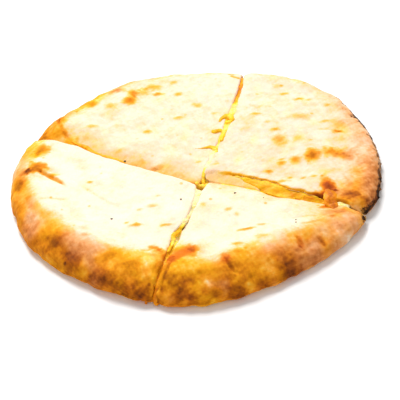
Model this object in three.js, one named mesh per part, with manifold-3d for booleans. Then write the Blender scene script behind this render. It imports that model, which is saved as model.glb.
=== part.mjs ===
// Cheese naan: a round flatbread filled with melted cheese, cut into four quarters that keep the round's shape.
// Millimetres. The base lies on z = 0, +Z is up, +Y is the back and +X is the right.

import * as THREE from 'three';
import { mergeVertices } from 'three/addons/utils/BufferGeometryUtils.js';
import Module from 'manifold-3d';

const DEGREE = Math.PI / 180;
const FULL_TURN = 360;

// Plan of the whole round
const OUTLINE_RADIUS = 126.7;
// Steps in which a line from inside the round finds its outline
const OUTLINE_STEPS = 8;
// Lobes that make the round uneven: how many, how far they stand out, and where they start
const OUTLINE_LOBES = [
  { count: 1, size: 1.7, turn: -98 },
  { count: 2, size: 2.9, turn: 8 },
  { count: 3, size: 1.7, turn: -93 },
  { count: 4, size: 0.5, turn: 37 },
  { count: 5, size: 1.4, turn: 141 },
  { count: 6, size: 0.7, turn: 128 },
  { count: 7, size: 0.6, turn: -27 },
];

// Height of the puffed rim: the mean, the swell towards the front, and the thin part at the right
const RIM_HEIGHT = 15.7;
const RIM_SWELL = 3.4;
const RIM_SWELL_HEADING = -115;
const RIM_THIN = 3.0;
const RIM_THIN_HEADING = -28;
const RIM_THIN_SPREAD = 22;
// The crest of the rim stands this far in from the edge
const CREST_INSET = 23;
const CREST_SPREAD = 17;
// The widest line of the rim lies at this share of its height, and the underside curls up to below it
const SEAM_SHARE = 0.36;
const CURL_SHARE = 0.2;
const CURL_WIDTH = 8;
const WALL_BULGE = 0.7;

// Low waves in the top crust: wavelength over 2 pi, slant, start and height
const SWELLS = [
  { length: 9.5, slant: 25, start: 0.6, height: 0.35 },
  { length: 7.0, slant: 100, start: 2.1, height: 0.3 },
  { length: 5.2, slant: 160, start: 4.0, height: 0.22 },
];
// Lumps (above zero) and hollows (below zero) of the crust: place, spread and height
const LUMPS = [
  { x: -106, y: 38, spread: 11, height: 1.6 },
  { x: -99, y: 6, spread: 8, height: -1.4 },
  { x: -92, y: 66, spread: 9, height: 1.2 },
  { x: -3, y: -83, spread: 8, height: 1.2 },
  { x: -17, y: -90, spread: 7, height: -1.4 },
  { x: 20, y: -98, spread: 9, height: 0.9 },
  { x: 66, y: -92, spread: 9, height: -0.9 },
  { x: 89, y: -36, spread: 9, height: 1.6 },
  { x: -40, y: 92, spread: 14, height: 0.8 },
  { x: 48, y: 30, spread: 16, height: 0.8 },
];

// The filling: the crust over it, the dough under it, its thickness, and where its pocket ends
const FLOOR_DOUGH = 4.0;
const FILLING_MOST = 6.5;
const FILLING_LEAST = 1.8;
const POCKET_END = 0.86;
const POCKET_TAPER = 0.3;
// The part of the filling that stands out is thinner by this share of how far it stands out
const FILLING_THINS = 0.8;
const CLEARANCE = 0.3;
const POCKET_PAST_CUT = 9;
// Where pocket and filling begin, as a share of the distance of the blunt point
const POCKET_TIP = 0.2;
const FILLING_TIP = 0.7;

// Facets of a quarter and of its filling: out from the point, across, and up
const BREAD_FACETS = { out: 12, across: 20, up: 4 };
const FILLING_FACETS = { out: 8, across: 12, up: 2 };
const BARE_FACETS = { out: 9, across: 2, up: 1 };
// The bare part of the filling is rooted in the layer by this, and the block that bares it ends as far above it
const BARE_ROOT = 1.5;
const BARE_ABOVE = 4;
// The slanted end of that block lies this far before the end of the bare filling
const BARE_END_GAP = 1.8;
// Rows crowd towards the rim, and lines crowd towards the cuts
const ROW_CROWDING = 1.8;
const LINE_CROWDING = 0.06;
const FILLING_ROW_CROWDING = 1.25;

// Each quarter runs counter-clockwise, seen from above, from its start cut to its end cut.
// Point: where its two cut faces would meet, and how far from there it is blunted.
// Cuts: the heading at the rim, how far the cut bows near the point and how soon, and one bend on the way.
// Edges: how far the crust drops at that cut, over the given width (below zero it is a raised edge), and
// how far the filling stands out of the cut face.
// Corners: how far the rim is drawn in beside that cut, over the given length of rim.
const QUARTERS = [
  {
    name: 'front_left',
    point: { x: -0.5, y: -20.0, blunt: 1.5 },
    startCut: { heading: 146.3, bow: 1.2, power: 1.5, bend: { at: 0.76, spread: 0.12, turn: -1.6 } },
    endCut: { heading: 249.7, bow: 11.9, power: 1.8, bend: { at: 0.5, spread: 0.135, turn: -4.5 } },
    middle: 15.2,
    shoulder: 21,
    skin: 2.8,
    startEdge: { drop: -0.8, width: 14, shows: 0.6 },
    endEdge: { drop: 0.8, width: 8, shows: 0.1 },
    startCorner: { draw: 1.5, length: 8 },
    endCorner: { draw: 2, length: 8 },
  },
  {
    name: 'front_right',
    point: { x: 7.6, y: -15.4, blunt: 2.5 },
    startCut: { heading: 247.2, bow: -6.7, power: 6.0, bend: { at: 0.47, spread: 0.08, turn: -1.5 } },
    endCut: { heading: 334.6, bow: 1.5, power: 1.5, bend: { at: 0.47, spread: 0.13, turn: -2.4 } },
    middle: 14.2,
    shoulder: 21,
    skin: 2.8,
    startEdge: { drop: 2.4, width: 12, shows: 0.1 },
    endEdge: { drop: 3.2, width: 22, shows: 0.4 },
    startCorner: { draw: 2, length: 8 },
    endCorner: { draw: 2.0, length: 10 },
  },
  {
    name: 'back_right',
    point: { x: 3.6, y: -12.4, blunt: 5.5 },
    startCut: { heading: 334.7, bow: 2.1, power: 1.5, bend: { at: 0.48, spread: 0.13, turn: -2.2 } },
    endCut: { heading: 431.7, bow: -5.9, power: 0.6, bend: { at: 0.46, spread: 0.12, turn: -1.1 } },
    middle: 14.2,
    shoulder: 13,
    skin: 2.0,
    startEdge: { drop: 0.8, width: 10, shows: 0.4 },
    endEdge: { drop: 1.0, width: 8, shows: 0.3 },
    startCorner: { draw: 5, length: 14 },
    endCorner: { draw: 1.5, length: 6 },
  },
  {
    name: 'back_left',
    point: { x: 1.7, y: -15.2, blunt: 3.0 },
    startCut: { heading: 71.6, bow: -3.0, power: 0.6, bend: { at: 0.33, spread: 0.12, turn: -0.6 } },
    endCut: { heading: 148.1, bow: 4.2, power: 1.5, bend: { at: 0.8, spread: 0.14, turn: -1.8 } },
    middle: 13.8,
    shoulder: 14,
    skin: 2.2,
    startEdge: { drop: 0.8, width: 8, shows: 0.4 },
    endEdge: { drop: 7.0, width: 24, shows: 0.4 },
    startCorner: { draw: 1.5, length: 6 },
    endCorner: { draw: 2.5, length: 10 },
  },
];
// How far the blunt point of a quarter swells, as a share of its bluntness
const POINT_SWELL = 0.45;
// Near its point a quarter keeps only this share of the drop at each cut
const POINT_DROP = 0.55;
const POINT_DROP_REACH = 40;

// The front right quarter lifts off its base at the corner beside the right cut.
// Its crust follows by a share.
const LIFTED_CORNER = { quarter: 'front_right', x: 106, y: -72, spread: 32, height: 2.6, crustShare: 0.5 };
// The crust of the back right quarter has drawn back from its right cut and leaves a ledge.
// Its widths at some distances from the point, and the distance at which it has run out, over a length.
// The step down to it, over a length, and how far it slopes on down to the cut.
// Between which distances cheese lies bare on it: it begins later at the cut than at the crust.
const LEDGE = {
  quarter: 'back_right',
  distances: [0, 50, 65, 78, 100],
  widths: [8.4, 8.6, 5.4, 3.0, 1.4],
  end: 106,
  endLength: 12,
  step: 1.1,
  stepLength: 2.4,
  slope: 2.0,
  bareFromAtCut: 42,
  bareFromAtCrust: 18,
  bareTo: 90,
};

// Beads of melted cheese in the cuts: whose filling they are, their place and heading, and the half sizes
// along, across and up
const BEADS = [
  { of: 'back_left', x: 25.4, y: 54.0, z: 11.2, heading: 66, half: [6.5, 4.6, 3.6] },
  { of: 'back_left', x: 19.6, y: 36.0, z: 11.0, heading: 68, half: [7.0, 3.8, 3.5] },
  { of: 'back_left', x: 13.6, y: 19.0, z: 11.0, heading: 72, half: [5.0, 3.8, 3.3] },
  { of: 'back_left', x: 6.0, y: -10.6, z: 9.4, heading: 80, half: [5.5, 3.0, 3.4] },
  { of: 'front_right', x: -17.4, y: -70.5, z: 10.6, heading: 246, half: [5.0, 2.6, 3.6] },
  { of: 'front_right', x: -25.4, y: -90.0, z: 9.6, heading: 247, half: [6.0, 2.6, 3.8] },
  { of: 'back_right', x: 87.5, y: -48.5, z: 10.6, heading: 333, half: [4.2, 7.2, 2.0] },
];
const BEAD_FACETS = { around: 10, over: 6 };

const BREAD_FINISH = { color: 0xf2d79c, roughness: 0.85, metalness: 0 };
const CHEESE_FINISH = { color: 0xf0b02c, roughness: 0.4, metalness: 0 };
// Corners of neighbouring facets closer than this are one
const MERGE_DISTANCE = 1e-5;

const wasm = await Module();
wasm.setup();

// Unit direction of a heading in degrees
function direction(heading) {
  return new THREE.Vector2(Math.cos(heading * DEGREE), Math.sin(heading * DEGREE));
}

// Radius of the round at a bearing in degrees from its middle
function outlineRadius(bearing) {
  let radius = OUTLINE_RADIUS;
  for (const lobe of OUTLINE_LOBES) {
    radius += lobe.size * Math.cos((lobe.count * bearing + lobe.turn) * DEGREE);
  }
  return radius;
}

// Distance from a point inside the round to its outline along a heading
function reachToOutline(from, heading) {
  const way = direction(heading);
  let reach = OUTLINE_RADIUS;
  for (let step = 0; step < OUTLINE_STEPS; step += 1) {
    const x = from.x + way.x * reach;
    const y = from.y + way.y * reach;
    reach += outlineRadius(Math.atan2(y, x) / DEGREE) - Math.hypot(x, y);
  }
  return reach;
}

// Signed difference of two headings, between -180 and 180 degrees
function turnBetween(a, b) {
  return THREE.MathUtils.euclideanModulo(a - b + FULL_TURN / 2, FULL_TURN) - FULL_TURN / 2;
}

// Bell curve of the distance from its middle, in units of its spread
function bell(distance) {
  return Math.exp(-distance * distance);
}

// Part of a drop that is left at a distance from the edge where it starts
function fade(distance, width) {
  return Math.max(1 - Math.max(distance, 0) / width, 0) ** 2;
}

// Value at a place on a line through the given values at the given places
function valueAt(place, places, values) {
  const last = places.length - 1;
  const next = Math.min(Math.max(places.findIndex((each) => each > place), 1), last);
  const share = (place - places[next - 1]) / (places[next] - places[next - 1]);
  return THREE.MathUtils.lerp(values[next - 1], values[next], THREE.MathUtils.clamp(share, 0, 1));
}

// Heading of a cut at a share of the way from the point to the rim
function cutHeading(cut, along) {
  const bend = cut.bend.turn * bell((along - cut.bend.at) / cut.bend.spread);
  return cut.heading + cut.bow * (1 - along) ** cut.power + bend;
}

// A quarter of the round: where each place in it lies and how high its crust stands there
class Quarter {
  constructor(sizes) {
    Object.assign(this, sizes);
    this.startHeading = this.startCut.heading;
    this.endHeading = this.endCut.heading;
  }

  // Distance from the point to the rim at a share of the way across
  reachAt(across) {
    const opening = (this.endHeading - this.startHeading) * DEGREE;
    const full = reachToOutline(this.point, THREE.MathUtils.lerp(this.startHeading, this.endHeading, across));
    const startDraw = this.startCorner.draw * fade(across * opening * full, this.startCorner.length);
    const endDraw = this.endCorner.draw * fade((1 - across) * opening * full, this.endCorner.length);
    return full - startDraw - endDraw;
  }

  // Distance from the point to the blunt point at a share of the way across
  bluntAt(across) {
    return this.point.blunt * (1 - POINT_SWELL * Math.sin(Math.PI * across));
  }

  // A place at a share across and a distance from the point, moved sideways past a cut face by some millimetres
  placeAt(across, distance, sideways = 0) {
    const reach = this.reachAt(across);
    const along = Math.min(distance / reach, 1);
    const from = cutHeading(this.startCut, along);
    const to = cutHeading(this.endCut, along);
    const heading = THREE.MathUtils.lerp(from, to, across);
    const way = direction(heading);
    const x = this.point.x + way.x * distance - way.y * sideways;
    const y = this.point.y + way.y * distance + way.x * sideways;
    return {
      x,
      y,
      distance,
      bearing: Math.atan2(y, x) / DEGREE,
      inset: Math.max(reach - distance, 0),
      fromStart: across * (to - from) * DEGREE * distance,
      fromEnd: (1 - across) * (to - from) * DEGREE * distance,
    };
  }

  // How far down the step and the slope of the ledge a place lies, as shares
  ledgeAt(place) {
    if (this.name !== LEDGE.quarter) {
      return { stepped: 0, sloped: 0 };
    }
    const width = valueAt(place.distance, LEDGE.distances, LEDGE.widths);
    const there = THREE.MathUtils.smoothstep(LEDGE.end - place.distance, 0, LEDGE.endLength);
    const past = place.fromStart - width + LEDGE.stepLength / 2;
    const stepped = there * (1 - THREE.MathUtils.smoothstep(past, 0, LEDGE.stepLength));
    return { stepped, sloped: there * Math.max(1 - place.fromStart / width, 0) };
  }

  // Height of the crust before the rim rounds off
  crustHeight(place) {
    const thin = RIM_THIN * bell(turnBetween(place.bearing, RIM_THIN_HEADING) / RIM_THIN_SPREAD);
    const swell = RIM_SWELL * Math.cos((place.bearing - RIM_SWELL_HEADING) * DEGREE);
    const crest = RIM_HEIGHT + swell - thin;
    let height = this.middle + (crest - this.middle) * bell((place.inset - CREST_INSET) / CREST_SPREAD);
    for (const swellWave of SWELLS) {
      const way = direction(swellWave.slant);
      const phase = (place.x * way.x + place.y * way.y) / swellWave.length + swellWave.start;
      height += swellWave.height * Math.sin(phase);
    }
    for (const lump of LUMPS) {
      height += lump.height * bell(Math.hypot(place.x - lump.x, place.y - lump.y) / lump.spread);
    }
    const fromPoint = THREE.MathUtils.smoothstep(place.distance, 0, POINT_DROP_REACH);
    const share = THREE.MathUtils.lerp(POINT_DROP, 1, fromPoint);
    height -= share * this.startEdge.drop * fade(place.fromStart, this.startEdge.width);
    height -= share * this.endEdge.drop * fade(place.fromEnd, this.endEdge.width);
    const { stepped, sloped } = this.ledgeAt(place);
    return height - LEDGE.step * stepped - LEDGE.slope * sloped;
  }

  // How far the base is lifted
  lift(place) {
    if (this.name !== LIFTED_CORNER.quarter) {
      return 0;
    }
    const away = Math.hypot(place.x - LIFTED_CORNER.x, place.y - LIFTED_CORNER.y);
    return LIFTED_CORNER.height * fade(away, LIFTED_CORNER.spread);
  }

  // Top and underside of the bread
  surfaces(place) {
    const crust = this.crustHeight(place);
    const shoulder = 1 - Math.min(place.inset / this.shoulder, 1);
    const curl = 1 - Math.min(place.inset / CURL_WIDTH, 1);
    const seam = crust * SEAM_SHARE;
    const lift = this.lift(place);
    const top = seam + (crust - seam) * Math.sqrt(1 - shoulder * shoulder);
    const under = crust * CURL_SHARE * (1 - Math.sqrt(1 - curl * curl));
    return { top: top + lift * LIFTED_CORNER.crustShare, under: under + lift };
  }

  // Top and underside of the filling at a share of the way to the end of its pocket
  fillingSurfaces(place, share) {
    const { top } = this.surfaces(place);
    const ceiling = top - this.skin;
    const floor = Math.min(Math.max(FLOOR_DOUGH, ceiling - FILLING_MOST), ceiling - FILLING_LEAST);
    const middle = (ceiling + floor) / 2;
    const taper = THREE.MathUtils.smoothstep(share, 1 - POCKET_TAPER, 1);
    const half = THREE.MathUtils.lerp((ceiling - floor) / 2, FILLING_LEAST / 2, taper);
    return { top: middle + half, under: middle - half };
  }
}

// Box facets bent by a function of the shares out, across and up
function bentBox(facets, bend) {
  const geometry = new THREE.BoxGeometry(1, 1, 1, facets.out, facets.across, facets.up);
  const position = geometry.attributes.position;
  for (let i = 0; i < position.count; i += 1) {
    const row = Math.round((position.getX(i) + 0.5) * facets.out);
    const line = Math.round((position.getY(i) + 0.5) * facets.across);
    const level = Math.round((position.getZ(i) + 0.5) * facets.up);
    const point = bend(row, line, level / facets.up);
    position.setXYZ(i, point.x, point.y, point.z);
  }
  return geometry;
}

// Share across of an evenly counted line, with the lines crowded towards both cuts
function crowdedAcross(share) {
  return share - LINE_CROWDING * Math.sin(2 * Math.PI * share);
}

// The dough and crust of a quarter, before its pocket is cut out
function breadGeometry(quarter) {
  return bentBox(BREAD_FACETS, (row, line, up) => {
    const across = crowdedAcross(line / BREAD_FACETS.across);
    const reach = quarter.reachAt(across);
    const out = 1 - (1 - row / BREAD_FACETS.out) ** ROW_CROWDING;
    const distance = THREE.MathUtils.lerp(quarter.bluntAt(across), reach, out);
    const place = quarter.placeAt(across, distance);
    const { top, under } = quarter.surfaces(place);
    const bulge = row === BREAD_FACETS.out ? WALL_BULGE * Math.sin(Math.PI * up) : 0;
    const swollen = quarter.placeAt(across, distance + bulge);
    return { x: swollen.x, y: swollen.y, z: THREE.MathUtils.lerp(under, top, up) };
  });
}

// The filling of a quarter, or the larger pocket that holds it
function fillingGeometry(quarter, isPocket) {
  const facets = {
    out: FILLING_FACETS.out + 1,
    across: FILLING_FACETS.across + 2,
    up: FILLING_FACETS.up,
  };
  const grow = isPocket ? CLEARANCE : 0;
  return bentBox(facets, (row, line, up) => {
    const inner = THREE.MathUtils.clamp((line - 1) / FILLING_FACETS.across, 0, 1);
    const across = crowdedAcross(inner);
    const share = Math.max(row - 1, 0) / FILLING_FACETS.out;
    const end = quarter.reachAt(across) * POCKET_END;
    const tip = quarter.bluntAt(across);
    const nominal = tip + (end - tip) * (1 - (1 - share) ** FILLING_ROW_CROWDING);
    let distance = nominal;
    if (row === 0) {
      distance = tip * (isPocket ? POCKET_TIP : FILLING_TIP);
    } else if (row === facets.out) {
      distance += isPocket ? CLEARANCE : 0;
    }
    let sideways = 0;
    let tuck = 0;
    if (line === 0 || line === facets.across) {
      const { shows } = line === 0 ? quarter.startEdge : quarter.endEdge;
      const past = isPocket ? POCKET_PAST_CUT : shows;
      sideways = line === 0 ? -past : past;
      tuck = isPocket ? 0 : (shows * FILLING_THINS) / 2;
    }
    const height = quarter.fillingSurfaces(quarter.placeAt(across, nominal), share);
    const place = quarter.placeAt(across, distance, sideways);
    const low = height.under - grow + tuck;
    const high = height.top + grow - tuck;
    return { x: place.x, y: place.y, z: THREE.MathUtils.lerp(low, high, up) };
  });
}

// The filling that lies bare on the ledge, or the larger block that bares it
function bareGeometry(quarter, isBlock) {
  const grow = isBlock ? CLEARANCE : 0;
  return bentBox(BARE_FACETS, (row, line, up) => {
    const inward = line / BARE_FACETS.across;
    const slanted = THREE.MathUtils.lerp(LEDGE.bareFromAtCut, LEDGE.bareFromAtCrust, inward);
    const from = slanted - (isBlock ? BARE_END_GAP : 0);
    const distance = THREE.MathUtils.lerp(from, LEDGE.bareTo + grow, row / BARE_FACETS.out);
    const width = valueAt(distance, LEDGE.distances, LEDGE.widths) + grow;
    const across = (inward * width) / quarter.placeAt(1, distance).fromStart;
    const past = isBlock ? POCKET_PAST_CUT : quarter.startEdge.shows;
    const place = quarter.placeAt(across, distance, line === 0 ? -past : 0);
    const { top } = quarter.surfaces(quarter.placeAt(across, distance));
    const root = top - quarter.skin - BARE_ROOT - grow;
    return { x: place.x, y: place.y, z: up === 0 ? root : top + (isBlock ? BARE_ABOVE : 0) };
  });
}

// A bead of cheese, grown by a clearance
function beadGeometry(bead, grow) {
  const geometry = new THREE.SphereGeometry(1, BEAD_FACETS.around, BEAD_FACETS.over);
  geometry.rotateX(Math.PI / 2);
  geometry.scale(bead.half[0] + grow, bead.half[1] + grow, bead.half[2] + grow);
  geometry.rotateZ(bead.heading * DEGREE);
  geometry.translate(bead.x, bead.y, bead.z);
  return geometry;
}

// A closed solid from a geometry
function solidOf(geometry) {
  const bare = geometry.clone();
  bare.deleteAttribute('normal');
  bare.deleteAttribute('uv');
  const merged = mergeVertices(bare, MERGE_DISTANCE);
  return new wasm.Manifold(new wasm.Mesh({
    numProp: 3,
    vertProperties: new Float32Array(merged.attributes.position.array),
    triVerts: new Uint32Array(merged.index.array),
  }));
}

// A named mesh from a solid
function meshOf(solid, name, finish) {
  const { vertProperties, triVerts } = solid.getMesh();
  const geometry = new THREE.BufferGeometry();
  geometry.setAttribute('position', new THREE.BufferAttribute(new Float32Array(vertProperties), 3));
  geometry.setIndex(new THREE.BufferAttribute(new Uint32Array(triVerts), 1));
  geometry.computeVertexNormals();
  const material = new THREE.MeshStandardMaterial(finish);
  material.name = `${name}_finish`;
  const mesh = new THREE.Mesh(geometry, material);
  mesh.name = name;
  return mesh;
}

const naan = new THREE.Group();
naan.name = 'cheese_naan';

const quarters = QUARTERS.map((sizes) => new Quarter(sizes));
for (const quarter of quarters) {
  let bread = solidOf(breadGeometry(quarter)).subtract(solidOf(fillingGeometry(quarter, true)));
  let cheese = solidOf(fillingGeometry(quarter, false));
  if (quarter.name === LEDGE.quarter) {
    bread = bread.subtract(solidOf(bareGeometry(quarter, true)));
    cheese = cheese.add(solidOf(bareGeometry(quarter, false)));
  }
  for (const bead of BEADS) {
    bread = bread.subtract(solidOf(beadGeometry(bead, CLEARANCE)));
    if (bead.of === quarter.name) {
      cheese = cheese.add(solidOf(beadGeometry(bead, 0)));
    }
  }
  for (const bead of BEADS) {
    if (bead.of !== quarter.name) {
      cheese = cheese.subtract(solidOf(beadGeometry(bead, CLEARANCE)));
    }
  }
  naan.add(meshOf(bread, `bread_${quarter.name}`, BREAD_FINISH));
  naan.add(meshOf(cheese, `cheese_${quarter.name}`, CHEESE_FINISH));
}

// The origin is the middle of the whole part's box, on its base
const middle = new THREE.Box3().setFromObject(naan).getCenter(new THREE.Vector3());
for (const mesh of naan.children) {
  mesh.geometry.translate(-middle.x, -middle.y, 0);
}

export default naan;
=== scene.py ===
"""Cheese naan, cut into four quarters: its looks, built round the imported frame.

The bread is soft dough with a pale crust that browns towards its puffed rim, and golden melted cheese shows
in the cuts. Sizes are in millimetres in the round's own frame, with its centre on the base, +X to the right
and +Y to the back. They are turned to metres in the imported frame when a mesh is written.
"""

import logging
import math
from dataclasses import dataclass, field
from enum import Enum
from typing import Sequence

import bpy
import numpy as np
from mathutils import Matrix, Vector


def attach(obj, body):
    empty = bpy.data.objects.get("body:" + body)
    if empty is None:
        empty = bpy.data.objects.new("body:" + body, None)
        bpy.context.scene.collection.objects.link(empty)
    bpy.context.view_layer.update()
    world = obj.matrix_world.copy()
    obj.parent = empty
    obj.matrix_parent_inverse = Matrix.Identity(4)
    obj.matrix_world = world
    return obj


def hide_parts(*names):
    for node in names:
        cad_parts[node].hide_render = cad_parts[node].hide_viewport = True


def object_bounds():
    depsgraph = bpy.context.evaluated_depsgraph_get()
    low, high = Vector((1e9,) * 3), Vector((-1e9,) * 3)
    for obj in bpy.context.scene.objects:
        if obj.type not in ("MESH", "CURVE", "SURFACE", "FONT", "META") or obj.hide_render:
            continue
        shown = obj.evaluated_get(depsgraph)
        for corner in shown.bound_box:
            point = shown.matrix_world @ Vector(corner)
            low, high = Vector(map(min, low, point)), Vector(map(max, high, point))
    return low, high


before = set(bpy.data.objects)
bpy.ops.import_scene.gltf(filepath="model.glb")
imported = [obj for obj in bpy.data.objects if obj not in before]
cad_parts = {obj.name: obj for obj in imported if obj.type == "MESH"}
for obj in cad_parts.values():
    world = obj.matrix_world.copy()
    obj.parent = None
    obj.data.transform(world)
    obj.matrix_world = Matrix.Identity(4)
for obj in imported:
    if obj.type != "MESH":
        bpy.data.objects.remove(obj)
CAD_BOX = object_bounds()

Array = np.ndarray
Piece = bpy.types.Object
Finish = bpy.types.Material
Socket = bpy.types.NodeSocket
Pair = tuple[float, float]
Triple = tuple[float, float, float]
Colour = tuple[float, float, float, float]
Stops = tuple[tuple[float, str], ...]
Fields = tuple[tuple[int, float, float], ...]
Settings = dict[str | int, object]
LOG = logging.getLogger("cheese_naan")

MM = 0.001
# Less than this is nothing, of a length or a share
TINY = 1e-6
# Where the round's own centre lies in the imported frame's plan, in millimetres
CENTRE = (1.009, 0.889)


def bell(distance: Array) -> Array:
    """Returns the bell curve of a distance given in units of its spread."""
    return np.exp(-distance * distance)


def fade(distance: Array, width: float) -> Array:
    """Returns the part of a drop that is left at a distance from the edge where it starts."""
    return np.maximum(1 - np.maximum(distance, 0) / width, 0) ** 2


def smooth(value: Array, low: float, high: float) -> Array:
    """Returns a smooth step from 0 at low to 1 at high; low may be the larger."""
    share = np.clip((value - low) / (high - low), 0, 1)
    return share * share * (3 - 2 * share)


def turn_between(one: Array, other: float) -> Array:
    """Returns the signed difference of two bearings, between -180 and 180 degrees."""
    return (one - other + 180) % 360 - 180


@dataclass(frozen=True)
class Ripples:
    """A seeded uneven field, smooth at its own size, with a mean of 0 and a spread of 1.

    Attributes:
        seed: Seed of the draw.
        size: Mean distance from one swell to the next, in millimetres.
        waves: How many waves are laid over one another.
        spread: Their lengths, from shortest to longest, for the size.
    """

    seed: int
    size: float
    waves: int = 26
    spread: Pair = (0.6, 1.5)

    def at(self, points: Array) -> Array:
        """Evaluates the field.

        Args:
            points: Places in millimetres, one row each.

        Returns:
            One value for each place.
        """
        draw = np.random.default_rng(self.seed)
        ways = draw.normal(size=(self.waves, 3))
        ways /= np.linalg.norm(ways, axis=1)[:, None]
        lengths = self.size * draw.uniform(*self.spread, self.waves)
        starts = draw.uniform(0, 2 * math.pi, self.waves)
        total = np.zeros(len(points))
        for way, length, start in zip(ways, lengths, starts):
            total += np.sin(points @ way * (2 * math.pi / length) + start)
        return total * math.sqrt(2 / self.waves)


def relief(fields: Fields, points: Array) -> Array:
    """Adds up uneven fields.

    Args:
        fields: Seed, size from swell to swell, and height of each.
        points: Places in millimetres, one row each.

    Returns:
        One value for each place.
    """
    return sum(height * Ripples(seed, size).at(points) for seed, size, height in fields)


class Side(Enum):
    """The two cut faces of a quarter, met counter-clockwise as seen from above."""

    START = 0
    END = 1


@dataclass(frozen=True)
class Bend:
    """A bend on the way of a cut: the share of the way, its spread there and its turn in degrees."""

    at: float
    spread: float
    turn: float


@dataclass(frozen=True)
class Cut:
    """A cut: its heading at the rim, how far and how soon it bows near the point, and one bend."""

    heading: float
    bow: float
    power: float
    bend: Bend

    def heading_at(self, along: Array) -> Array:
        """Returns the heading in degrees at a share of the way from the point to the rim."""
        bend = self.bend.turn * bell((along - self.bend.at) / self.bend.spread)
        return self.heading + self.bow * (1 - along) ** self.power + bend


@dataclass(frozen=True)
class Edge:
    """How far the crust drops at a cut, over what width, and how far the filling stands out there."""

    drop: float
    width: float
    shows: float


@dataclass(frozen=True)
class Corner:
    """How far the rim is drawn in beside a cut, and over what length of rim."""

    draw: float
    length: float


@dataclass(frozen=True)
class Swell:
    """A part of the filling that bulges out of a cut face.

    Attributes:
        side: The cut face.
        at: Distance from the quarter's point.
        spread: Half its length.
        out: How far it stands out.
        rise: How far it stands up past the filling's own top.
    """

    side: Side
    at: float
    spread: float
    out: float
    rise: float = 0.0


@dataclass(frozen=True)
class Plan:
    """The sizes of one quarter. Lengths are in millimetres and headings in degrees."""

    name: str
    point: Pair
    blunt: float
    cuts: tuple[Cut, Cut]
    middle: float
    shoulder: float
    skin: float
    edges: tuple[Edge, Edge]
    corners: tuple[Corner, Corner]
    pale: float
    swells: tuple[Swell, ...] = ()


PLANS = (
    Plan(
        name="front_left",
        point=(-0.5, -20.0),
        blunt=1.5,
        cuts=(Cut(146.3, 1.2, 1.5, Bend(0.76, 0.12, -1.6)), Cut(249.7, 11.9, 1.8, Bend(0.5, 0.135, -4.5))),
        middle=15.2,
        shoulder=21,
        skin=2.8,
        edges=(Edge(-0.8, 14, 0.6), Edge(0.8, 8, 0.1)),
        corners=(Corner(1.5, 8), Corner(2.0, 8)),
        pale=0.92,
        swells=(Swell(Side.START, 20, 14, 1.6), Swell(Side.START, 62, 30, 0.5), Swell(Side.END, 60, 10, 0.7)),
    ),
    Plan(
        name="front_right",
        point=(7.6, -15.4),
        blunt=2.5,
        cuts=(Cut(247.2, -6.7, 6.0, Bend(0.47, 0.08, -1.5)), Cut(334.6, 1.5, 1.5, Bend(0.47, 0.13, -2.4))),
        middle=14.2,
        shoulder=21,
        skin=2.8,
        edges=(Edge(2.4, 12, 0.1), Edge(3.2, 22, 0.4)),
        corners=(Corner(2.0, 8), Corner(2.0, 10)),
        pale=0.75,
        swells=(Swell(Side.START, 62, 12, 0.9), Swell(Side.START, 12, 10, 0.8), Swell(Side.END, 60, 24, 0.3)),
    ),
    Plan(
        name="back_right",
        point=(3.6, -12.4),
        blunt=5.5,
        cuts=(Cut(334.7, 2.1, 1.5, Bend(0.48, 0.13, -2.2)), Cut(431.7, -5.9, 0.6, Bend(0.46, 0.12, -1.1))),
        middle=14.2,
        shoulder=13,
        skin=2.0,
        edges=(Edge(0.8, 10, 0.4), Edge(1.0, 8, 0.3)),
        corners=(Corner(5.0, 14), Corner(1.5, 6)),
        pale=0.1,
        swells=(
            Swell(Side.START, 60, 30, 0.3),
            Swell(Side.END, 40, 14, 0.5),
            Swell(Side.END, 84, 16, 0.7, 0.6),
        ),
    ),
    Plan(
        name="back_left",
        point=(1.7, -15.2),
        blunt=3.0,
        cuts=(Cut(71.6, -3.0, 0.6, Bend(0.33, 0.12, -0.6)), Cut(148.1, 4.2, 1.5, Bend(0.8, 0.14, -1.8))),
        middle=13.8,
        shoulder=14,
        skin=2.2,
        edges=(Edge(0.8, 8, 0.4), Edge(7.0, 24, 0.4)),
        corners=(Corner(1.5, 6), Corner(2.5, 10)),
        pale=0.2,
        swells=(
            Swell(Side.START, 36, 12, 0.7, 0.6),
            Swell(Side.START, 60, 12, 1.3, 0.8),
            Swell(Side.START, 86, 16, 0.9, 1.0),
            Swell(Side.END, 30, 30, 1.2, 0.6),
        ),
    ),
)


@dataclass(frozen=True)
class Lobe:
    """A lobe that makes the round uneven: how many there are, how far they stand out, where they start."""

    count: int
    size: float
    turn: float


@dataclass(frozen=True)
class Lump:
    """A lump (above zero) or hollow (below zero) of the crust: its place, spread and height."""

    x: float
    y: float
    spread: float
    height: float


@dataclass(frozen=True)
class LowWave:
    """A low wave of the crust: its length over 2 pi, its slant, its start and its height."""

    length: float
    slant: float
    start: float
    height: float


@dataclass
class Places:
    """Places on a quarter, and what the form needs to know of each.

    Attributes:
        x: To the right.
        y: To the back.
        distance: From the quarter's point.
        bearing: Round the whole, in degrees.
        inset: In from the rim.
        from_start: Off the start cut.
        from_end: Off the end cut.
    """

    x: Array
    y: Array
    distance: Array
    bearing: Array
    inset: Array
    from_start: Array
    from_end: Array


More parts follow.
